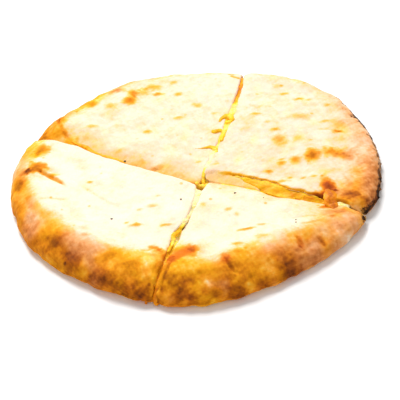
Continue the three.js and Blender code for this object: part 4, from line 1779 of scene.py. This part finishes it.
STRANDS = (
    # In the back cut: a dark thread, a pale band, a golden arch, drops and a tip with a thread over the crust
    # The dark thread's deep tone is partly painted shade of the narrow gap it lies in
    Strand("back_left", ((43.2, 97, -3.4, 0.8), (40.8, 87, -2.6, 1), (38.6, 78.5, -2, 1)), 0.95),
    Strand("back_left", ((38.4, 77.5, -1.5, 0.9), (36.9, 71.7, -0.9, 1.3), (35.1, 66.1, -0.6, 1.5),
        (33.8, 60.9, -0.4, 1.6), (32.4, 56.5, -0.2, 1.6)), 0.08),
    Strand("back_left", ((21.6, 50.6, 0, 1.1), (23.8, 54, 0.3, 1.9), (26.8, 55.4, 0.5, 2.4),
        (30, 53.8, 0.5, 2.5), (31.2, 49.8, 0.4, 2)), 0.66),
    Strand("back_left", ((30.4, 48.6, 0.2, 1.7), (28, 47.4, 0.2, 1.6), (25.8, 49, 0.2, 1.1)), 0.58),
    Strand("back_left", ((24.8, 38.8, 0.2, 1.2), (23.6, 35, 0.4, 1.9), (22.4, 31, 0.4, 2),
        (20.9, 26.8, 0.2, 1.3)), 0.44),
    Strand("back_left", ((22, 30.6, 0.8, 1), (21, 27.6, 0.5, 1)), 0.66),
    Strand("back_left", ((16.2, 37.4, 0.1, 1.9), (18.4, 37.2, 0.3, 2.3), (20.6, 38, 0.1, 1.8)), 0.52),
    Strand("back_left", ((16.4, 14, -0.1, 1.1), (16, 17.1, 0.3, 1.8), (14.4, 19.8, 0.4, 2.1),
        (12.2, 21, 0.2, 1.6), (9, 20.6, 0, 1), (5.7, 20.3, -0.1, 0.6),
        (1.4, 20.6, -0.1, 0.4)), 0.6),
    # Between the points of the quarters
    Strand("back_left", ((6.2, -4.6, -1.6, 0.9), (5.2, -7.9, -1.1, 1.2), (4.2, -11.6, -1, 1.4),
        (4.4, -15.3, -1.1, 1.4), (5.7, -17.2, -1.1, 1.4), (6.9, -16.2, -1.1, 1)), 0.6),
    Strand("front_left", ((0.2, -17.6, -1.2, 2), (3.4, -18.6, -1.2, 2.4), (6.2, -17.4, -1.3, 1.8)), 0.3),
    # Along the left cut, on the lowered edge behind the front left quarter
    Strand("back_left", ((-86.6, 50.2, -0.2, 0.9), (-83.2, 47, 0, 1.3), (-79, 43.2, 0.1, 1.6),
        (-74.4, 38.8, 0.1, 1.7), (-70, 34.8, 0.1, 1.7), (-65.4, 30.8, 0.1, 1.6),
        (-59.4, 26.6, 0, 1.5), (-53.4, 22.6, -0.2, 1.3), (-47.4, 19, -0.4, 1),
        (-41, 15.2, -0.6, 0.7)), 0.7),
    Strand("back_left", ((-82, 43, -0.6, 1.4), (-76, 38.4, -0.8, 2), (-70, 33.2, -1, 2.2),
        (-63, 28.2, -1, 2.2), (-55, 22.4, -1.1, 1.9), (-47, 17.2, -1.1, 1.6)), 0.5),
    # In the front cut: a golden drop, pale cheese, and darker threads down to the rim
    Strand("front_right", ((-14.6, -63, -0.6, 0.8), (-16.6, -66.9, -0.2, 1.5), (-18.6, -69.6, -0.1, 1.9),
        (-20.2, -72, -0.4, 1.2)), 0.6),
    Strand("front_right", ((-19.3, -73.6, -0.9, 1.3), (-20.3, -76.6, -0.9, 1.3),
        (-21.1, -79, -0.9, 1.1)), 0.1),
    Strand("front_right", ((-21.1, -79.6, -0.7, 0.8), (-22.4, -82.5, -0.5, 1),
        (-23.7, -86.2, -0.6, 0.8)), 0.55),
    Strand("front_right", ((-25.5, -88.9, -1.6, 0.9), (-27.2, -92.7, -1.6, 0.9),
        (-28.5, -95.8, -1.8, 0.8)), 0.95),
    # Run down the corner beside the front cut, with a foot at the base
    Strand("front_right", ((-29.2, -104.6, 14, 0.9), (-30.2, -108, 12.6, 1.6), (-31.8, -111.4, 10.6, 2),
        (-33, -114.2, 7.6, 2.4), (-34, -116.2, 4.4, 2.6), (-34.4, -117.2, 2.3, 2.3)), 0.84, True),
    Strand("front_left", ((-40.4, -112, 6.5, 0.8), (-40.9, -114.4, 3.4, 1),
        (-41, -115.6, 1.2, 1)), 0.96, True),
    # A flap that hangs over the right cut near the rim
    Strand("back_right", ((86.4, -40.6, -1, 2.8), (86.8, -44.4, -0.4, 4.2), (87, -48.2, 0.2, 5.2),
        (87.2, -51.8, 0.5, 5.2), (87.8, -54.8, 0.4, 4.2), (88.4, -57, 0.1, 2.6)),
        0.96, False, 0.22),
)


@dataclass(frozen=True)
class Web:
    """Melted cheese that closes part of the way between two quarters, from crust edge to crust edge.

    Attributes:
        of: The quarter whose filling it belongs to.
        side: Which of its cut faces.
        facing: The quarter across the cut.
        begins: Distance from the quarter's point where it begins.
        ends: Where it ends.
        above: Its height over the crust of the edges.
        sag: How far it sags between them.
        tone: Its colour, from 0 for pale to 1 for deep.
    """

    of: str
    side: Side
    facing: str
    begins: float
    ends: float
    above: float
    sag: float
    tone: float


WEBS = tuple(
    Web(of, side, facing, *sizes)
    for of, side, facing, rows in (
        # The back cut
        ("back_left", Side.START, "back_right", (
            (5, 35, -0.1, 0.2, 0), (34, 74, -0.2, 0.5, 0.14), (73, 93, -0.2, 0.6, 0.2),
            (92, 112, -0.6, 1.2, 0.8), (111, 127, -0.5, 0.8, 0.74),
        )),
        # The front cut
        ("front_left", Side.END, "front_right", (
            (3, 42, -0.1, 0.25, 0), (41, 52, -0.1, 0.3, 0.4), (51, 62, -0.1, 0.5, 0.12),
            (61, 74, -0.2, 0.8, 0.66), (73, 98, -0.6, 1.2, 0.8),
        )),
        # The right cut
        ("front_right", Side.END, "back_right", (
            (8, 44, -0.5, 0.4, 0.4), (43, 84, -0.3, 0.5, 0.68), (87, 100, -0.2, 0.3, 0.05),
        )),
    )
    for sizes in rows
)


@dataclass(frozen=True)
class ToneMark:
    """A place of the bare filling that has a colour of its own, from 0 for pale to 1 for deep."""

    of: str
    x: float
    y: float
    tone: float


TONE_MARKS = tuple(
    ToneMark("back_right", *place_and_tone)
    for place_and_tone in (
        (22, -12.5, 0.32), (27, -16, 0.3), (31.5, -19, 0.44), (35.5, -23, 0.56),
        (40, -27, 0.7), (45.5, -31, 0.7), (51.5, -34, 0.66), (57, -37.5, 0.7),
        (62, -40, 0.72), (68, -42.5, 0.68), (75, -45, 0.66), (82, -47.5, 0.7),
    )
)


@dataclass
class CheeseLayer:
    """The filling of one quarter: a layer through the bread, bulging at the cuts, with strands of its own.

    Attributes:
        quarter: Its form.
        quarters: The forms of all quarters, by name.
        crusts: The breads that it lies in and on.
        finish: Its finish.
        marks: Place and tone of each spot where its colour is known.
    """

    quarter: Quarter
    quarters: dict[str, Quarter]
    crusts: CrustMap
    finish: Finish
    marks: list[Triple] = field(default_factory=list)
    facets: Facets = Facets(out=(18, 5), across=(28, 5), up=(8, 1))
    smooth_angle: float = 70
    # The layer, with a rounded nose at each cut face
    nose_lines: int = 5
    nose_round: float = 0.92
    row_spread: float = 0.9
    filling_tip: float = 0.7
    hidden_relief: float = 0.15
    relief_from: Pair = (0, 0.6)
    setback: float = 0.05
    # Uneven fields: seed, size from swell to swell, and height
    nose_ripples: Fields = ((101, 12.0, 0.16),)
    nose_ripple_turn: float = 9
    layer_relief: Fields = ((111, 9.0, 0.30), (112, 4.0, 0.12))
    bare_relief: Fields = ((113, 5.6, 0.18), (114, 2.6, 0.06))
    strand_relief: Fields = ((121, 7.0, 0.18), (122, 3.0, 0.06))
    web_relief: Fields = ((125, 7.0, 0.16), (126, 2.6, 0.07))
    # Strands and drops
    steps_per_span: int = 4
    bevel_steps: int = 6
    ball_steps: int = 3
    voxel_mm: float = 0.4
    smoothing: int = 8
    smoothing_factor: float = 0.5
    # Webs
    web_step: float = 1.0
    web_fewest: int = 4
    web_furthest: float = 125
    web_search_steps: int = 500
    web_grip: float = 0.9
    web_thickness: float = 1.8
    web_end_drop: float = 0.4
    # Tones, which the marks near a place decide more than the layer's own does
    layer_tone: float = 0.5
    layer_weight: float = 0.15
    tone_spread: float = 2.6

    @property
    def node(self) -> str:
        """Returns the name of the solid that the filling stands for."""
        return f"cheese_{self.quarter.plan.name}"

    def build(self) -> Piece:
        """Builds the layer with its strands and returns it."""
        name = self.quarter.plan.name
        self.marks += [(mark.x, mark.y, mark.tone) for mark in TONE_MARKS if mark.of == name]
        layer = self.layer()
        strands = self.strands()
        if strands is not None:
            apply_modifier(layer, "BOOLEAN", {"operation": "UNION", "object": strands, "solver": "MANIFOLD"})
            remove(strands)
        return self.dress(layer)

    def layer(self) -> Piece:
        """Builds the layer, with rounded noses where it stands out of the cut faces."""
        quarter = self.quarter
        layer = add_block(f"{self.node}_melted", self.facets)
        shares = points_of(layer) + 0.5
        row, rows, line, lines = self.facets.grid(shares)
        outer = self.nose_lines
        across = quarter.crowd(np.clip((line - outer) / (lines - 2 * outer), 0, 1))
        share = np.clip((row - 1) / (rows - 1), 0, 1) ** self.row_spread
        end = quarter.reach_at(across) * quarter.pocket_end
        tip = quarter.blunt_at(across)
        nominal = tip + (end - tip) * share
        distance = np.where(row == 0, tip * self.filling_tip, nominal)
        nose_start = np.clip((outer - line) / outer, 0, 1)
        nose_end = np.clip((line - lines + outer) / outer, 0, 1)
        nose = np.maximum(nose_start, nose_end)
        way = np.column_stack([nominal, self.nose_ripple_turn * across, 0 * across])
        out_start, rise_start = quarter.stands_out(Side.START, nominal)
        out_end, rise_end = quarter.stands_out(Side.END, nominal)
        sideways = out_end * np.sin(nose_end * math.pi / 2) - out_start * np.sin(nose_start * math.pi / 2)
        sideways = sideways * (1 + relief(self.nose_ripples, way))
        rise = np.where(nose_start > 0, rise_start, rise_end) * nose
        inner = quarter.places(across, nominal)
        high, low = quarter.filling(inner, share)
        half = (high - low) / 2 * np.where(nose > 0, np.sqrt(1 - (self.nose_round * nose) ** 2), 1)
        z = (high + low) / 2 + rise + half * (2 * shares[:, 2] - 1)
        place = quarter.places(across, distance, sideways)
        set_points(layer, to_frame(place.x, place.y, z))
        points = points_of(layer)
        bare = quarter.ledge(inner)[2]
        shown = self.hidden_relief + (1 - self.hidden_relief) * smooth(nose + bare, *self.relief_from)
        move = relief(self.layer_relief, points / MM) * shown + relief(self.bare_relief, points / MM) * bare
        set_points(layer, keep_in_box(points + normals_of(layer) * ((move - self.setback) * MM)[:, None]))
        return layer

    def strands(self) -> Piece | None:
        """Builds the strands of this filling as one smooth mesh, or returns None if it has none."""
        parts = [self.strand(strand) for strand in STRANDS if strand.of == self.quarter.plan.name]
        parts += [self.web(web) for web in WEBS if web.of == self.quarter.plan.name]
        if not parts:
            return None
        strands = join(parts)
        apply_modifier(strands, "REMESH", {"mode": "VOXEL", "voxel_size": self.voxel_mm * MM})
        apply_modifier(strands, "SMOOTH", {"factor": self.smoothing_factor, "iterations": self.smoothing})
        points = points_of(strands)
        move = relief(self.strand_relief, points / MM)
        set_points(strands, keep_in_box(points + normals_of(strands) * (move * MM)[:, None]))
        return strands

    def strand(self, strand: Strand) -> Piece:
        """Builds one strand: a path through its places, as thick as it is there, turned to a mesh."""
        deselect_all()
        bpy.ops.curve.primitive_nurbs_path_add()
        path = bpy.context.active_object
        curve = path.data
        curve.dimensions = "3D"
        spline = curve.splines[0]
        spline.type = "POLY"
        places = np.array(strand.way)
        spans = len(places) - 1
        steps = np.linspace(0, spans, self.steps_per_span * spans + 1)
        x, y, above, half = (np.interp(steps, np.arange(len(places)), places[:, k]) for k in range(4))
        spline.points.add(len(steps) - len(spline.points))
        heights = above * MM
        if not strand.from_base:
            heights = heights + np.array([self.crusts.height(px, py) for px, py in zip(x, y)])
        for point, px, py, pz, size in zip(spline.points, x, y, heights, half):
            point.co = ((px + CENTRE[0]) * MM, (py + CENTRE[1]) * MM, pz, 1.0)
            point.radius = size
            self.marks.append((px, py, strand.tone))
        curve.bevel_depth = MM
        curve.bevel_resolution = self.bevel_steps
        curve.use_fill_caps = True
        bpy.ops.object.convert(target="MESH")
        tube = bpy.context.active_object
        # The ends of a path are flat, so each gets a ball
        for k in (0, -1):
            deselect_all()
            bpy.ops.mesh.primitive_ico_sphere_add(subdivisions=self.ball_steps, radius=half[k] * MM)
            ball = bpy.context.active_object
            place = ((x[k] + CENTRE[0]) * MM, (y[k] + CENTRE[1]) * MM, heights[k])
            ball.data.transform(Matrix.Translation(place))
            tube = join([tube, ball])
        # Soft cheese sags: a strand that lies on the crust is lower than it is wide
        if not strand.from_base:
            points = points_of(tube)
            plan = (points[:, :2] / MM - np.array(CENTRE))[:, None, :] - np.column_stack([x, y])[None, :, :]
            spine = heights[np.argmin((plan ** 2).sum(axis=2), axis=1)]
            points[:, 2] = spine + (points[:, 2] - spine) * strand.flat
            set_points(tube, points)
        return tube

    def web(self, web: Web) -> Piece:
        """Builds one web: a block bent to lie between the crust edges on both sides of a cut."""
        parts = max(self.web_fewest, round((web.ends - web.begins) / self.web_step))
        block = add_block("web", Facets(out=(parts, 1), across=(8, 1), up=(2, 1)))
        shares = points_of(block) + 0.5
        stations = np.linspace(web.begins, web.ends, parts + 1)
        near = np.column_stack(self.quarter.edge_at(web.side, stations))
        across = Side.END if web.side is Side.START else Side.START
        way = np.linspace(0, self.web_furthest, self.web_search_steps)
        edge = np.column_stack(self.quarters[web.facing].edge_at(across, way))
        away = np.linalg.norm(near[:, None, :] - edge[None, :, :], axis=2)
        far = edge[np.argmin(away, axis=1)]
        inward = (far - near) / away.min(axis=1)[:, None] * self.web_grip
        near, far = near - inward, far + inward
        heights = [[self.crusts.height(*place) / MM for place in side] for side in (near, far)]
        row = np.round(np.clip(shares[:, 0], 0, 1) * parts).astype(int)
        u = shares[:, 1]
        x = near[row, 0] + (far[row, 0] - near[row, 0]) * u
        y = near[row, 1] + (far[row, 1] - near[row, 1]) * u
        crust = np.array(heights[0])[row] * (1 - u) + np.array(heights[1])[row] * u
        uneven = relief(self.web_relief, np.column_stack([x, y, 0 * x]))
        top = crust + web.above + uneven - web.sag * np.sin(math.pi * u)
        at_end = np.minimum(row, parts - row) == 0
        top = top - self.web_thickness * self.web_end_drop * at_end
        set_points(block, to_frame(x, y, top - self.web_thickness * (1 - shares[:, 2])))
        self.marks += [(px, py, web.tone) for px, py in (near + far) / 2]
        return block

    def dress(self, cheese: Piece) -> Piece:
        """Gives the cheese its tones, its finish and its place in the frame."""
        points = points_of(cheese) / MM
        x = points[:, 0] - CENTRE[0]
        y = points[:, 1] - CENTRE[1]
        weight = np.full(len(points), self.layer_weight)
        tone = weight * self.layer_tone
        for mark_x, mark_y, value in self.marks:
            near = bell(np.hypot(x - mark_x, y - mark_y) / self.tone_spread)
            weight = weight + near
            tone = tone + near * value
        set_layer(cheese, "tone", tone / weight)
        make_active(cheese)
        bpy.ops.object.shade_smooth_by_angle(angle=math.radians(self.smooth_angle))
        set_finish(cheese, self.finish)
        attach(cheese, "root")
        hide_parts(self.node)
        return cheese


@dataclass(frozen=True)
class BurntSpecks:
    """Small specks of burnt flour on the crust."""

    crusts: CrustMap
    finish: Finish
    # Place and half size of each speck
    places: tuple[Triple, ...] = (
        (-48.9, 20.8, 1.0),
        (-59.3, -46.7, 0.9),
        (-12.2, -34.1, 0.8),
        (24.6, -33.5, 0.8),
        (61.2, -69.7, 0.6),
        (60.6, -73.2, 0.6),
        (43.0, -41.0, 0.4),
    )
    thickness: float = 0.3
    narrowness: float = 0.8
    turn: float = 1.1
    ball_steps: int = 3
    unevenness: float = 0.12
    uneven_size: float = 0.9
    first_seed: int = 130

    def build(self) -> Piece:
        """Builds all specks as one piece and returns it."""
        parts = []
        for number, (x, y, size) in enumerate(self.places):
            spot = self.crusts.point(x, y)
            if spot is None:
                LOG.warning("speck %d finds no crust", number)
                continue
            deselect_all()
            bpy.ops.mesh.primitive_ico_sphere_add(subdivisions=self.ball_steps, radius=1.0)
            part = bpy.context.active_object
            scale = Matrix.Diagonal((size * MM, size * self.narrowness * MM, self.thickness * MM, 1.0))
            turn = Matrix.Rotation(number * self.turn, 4, "Z")
            part.data.transform(Matrix.Translation(spot) @ turn @ scale)
            points = points_of(part)
            ripples = (self.first_seed + number, self.uneven_size, self.unevenness)
            uneven = relief((ripples,), points / MM)
            set_points(part, points + normals_of(part) * (uneven * MM)[:, None])
            parts.append(part)
        specks = join(parts)
        specks.name = "burnt_specks"
        bpy.ops.object.shade_smooth()
        set_finish(specks, self.finish)
        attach(specks, "root")
        return specks


@dataclass(frozen=True)
class Studio:
    """The camera at the photograph's viewing angle, soft light and a plain pale floor.

    Attributes:
        eye: Camera's place, in millimetres in the round's own frame.
        target: Where it looks.
        roll: How far the picture is turned, in degrees.
        view_angle: Width of the picture, in degrees.
        sky: Strength of the even light from all round.

    The floor's side and the lights' sides and places are in metres, and the powers in watts.
    """

    eye: Triple = (0.57, -689.0, 557.3)
    target: Triple = (0.57, -34.25, 12.0)
    roll: float = -6.88
    view_angle: float = 18.0
    sensor: float = 36.0
    floor_size: float = 6.0
    key_power: float = 46.0
    key_size: float = 1.0
    key_place: Triple = (-0.25, 1.15, 1.6)
    fill_power: float = 9.0
    fill_size: float = 1.8
    fill_place: Triple = (-0.5, -1.7, 1.1)
    sky: float = 0.5

    def build(self, floor_finish: Finish) -> None:
        """Sets up the camera, the lights, the sky and the floor."""
        self.add_camera()
        self.add_light("key_softbox", self.key_place, self.key_power, self.key_size)
        self.add_light("fill_softbox", self.fill_place, self.fill_power, self.fill_size)
        scene = bpy.context.scene
        world = bpy.data.worlds.new("studio_air")
        world.use_nodes = True
        air = world.node_tree.nodes["Background"]
        air.inputs["Color"].default_value = (1.0, 1.0, 1.0, 1.0)
        air.inputs["Strength"].default_value = self.sky
        scene.world = world
        scene.view_settings.view_transform = "Standard"
        scene.view_settings.look = "None"
        self.add_floor(floor_finish)

    def add_camera(self) -> None:
        """Adds the camera and makes it the scene's own."""
        lens = bpy.data.cameras.new("camera")
        lens.sensor_width = self.sensor
        lens.lens = self.sensor / 2 / math.tan(math.radians(self.view_angle / 2))
        lens.clip_start = 0.01
        camera = bpy.data.objects.new("camera", lens)
        shift = Vector((CENTRE[0], CENTRE[1], 0.0))
        eye = (Vector(self.eye) + shift) * MM
        target = (Vector(self.target) + shift) * MM
        ahead = (target - eye).normalized()
        right = ahead.cross(Vector((0, 0, 1))).normalized()
        above = right.cross(ahead)
        turn = math.radians(self.roll)
        rolled_right = right * math.cos(turn) + above * math.sin(turn)
        rolled_above = above * math.cos(turn) - right * math.sin(turn)
        place = Matrix((rolled_right, rolled_above, -ahead)).transposed().to_4x4()
        place.translation = eye
        camera.matrix_world = place
        bpy.context.scene.collection.objects.link(camera)
        bpy.context.scene.camera = camera

    def add_light(self, name: str, place: Triple, power: float, size: float) -> None:
        """Adds one soft square light that faces the naan.

        Args:
            name: Name of the light.
            place: Where it stands, in metres.
            power: Its power in watts.
            size: Its side in metres.
        """
        lamp = bpy.data.lights.new(name, "AREA")
        lamp.energy = power
        lamp.size = size
        light = bpy.data.objects.new(name, lamp)
        light.location = place
        light.rotation_euler = (-Vector(place)).to_track_quat("-Z", "Y").to_euler()
        bpy.context.scene.collection.objects.link(light)

    def add_floor(self, finish: Finish) -> None:
        """Adds the floor, which isn't part of the naan."""
        deselect_all()
        bpy.ops.mesh.primitive_plane_add(size=self.floor_size)
        floor = bpy.context.active_object
        floor.name = "pale_floor"
        floor.data.materials.append(finish)


def main() -> None:
    """Builds the naan and its studio."""
    logging.basicConfig(level=logging.INFO, format="%(name)s: %(message)s")
    whole = Round()
    dough = BakedDough().build()
    cheese = MeltedCheese().build()
    quarters = [Quarter(plan, whole) for plan in PLANS]
    pieces = [BreadQuarter(quarter, dough).build() for quarter in quarters]
    crusts = CrustMap(tuple(pieces))
    by_name = {quarter.plan.name: quarter for quarter in quarters}
    for quarter in quarters:
        pieces.append(CheeseLayer(quarter, by_name, crusts, cheese).build())
    pieces.append(BurntSpecks(crusts, Soot().build()).build())
    for piece in pieces:
        LOG.info("%s: %d faces", piece.name, len(piece.data.polygons))
    Studio().build(PaleFloor().build())


if __name__ == "__main__":
    main()
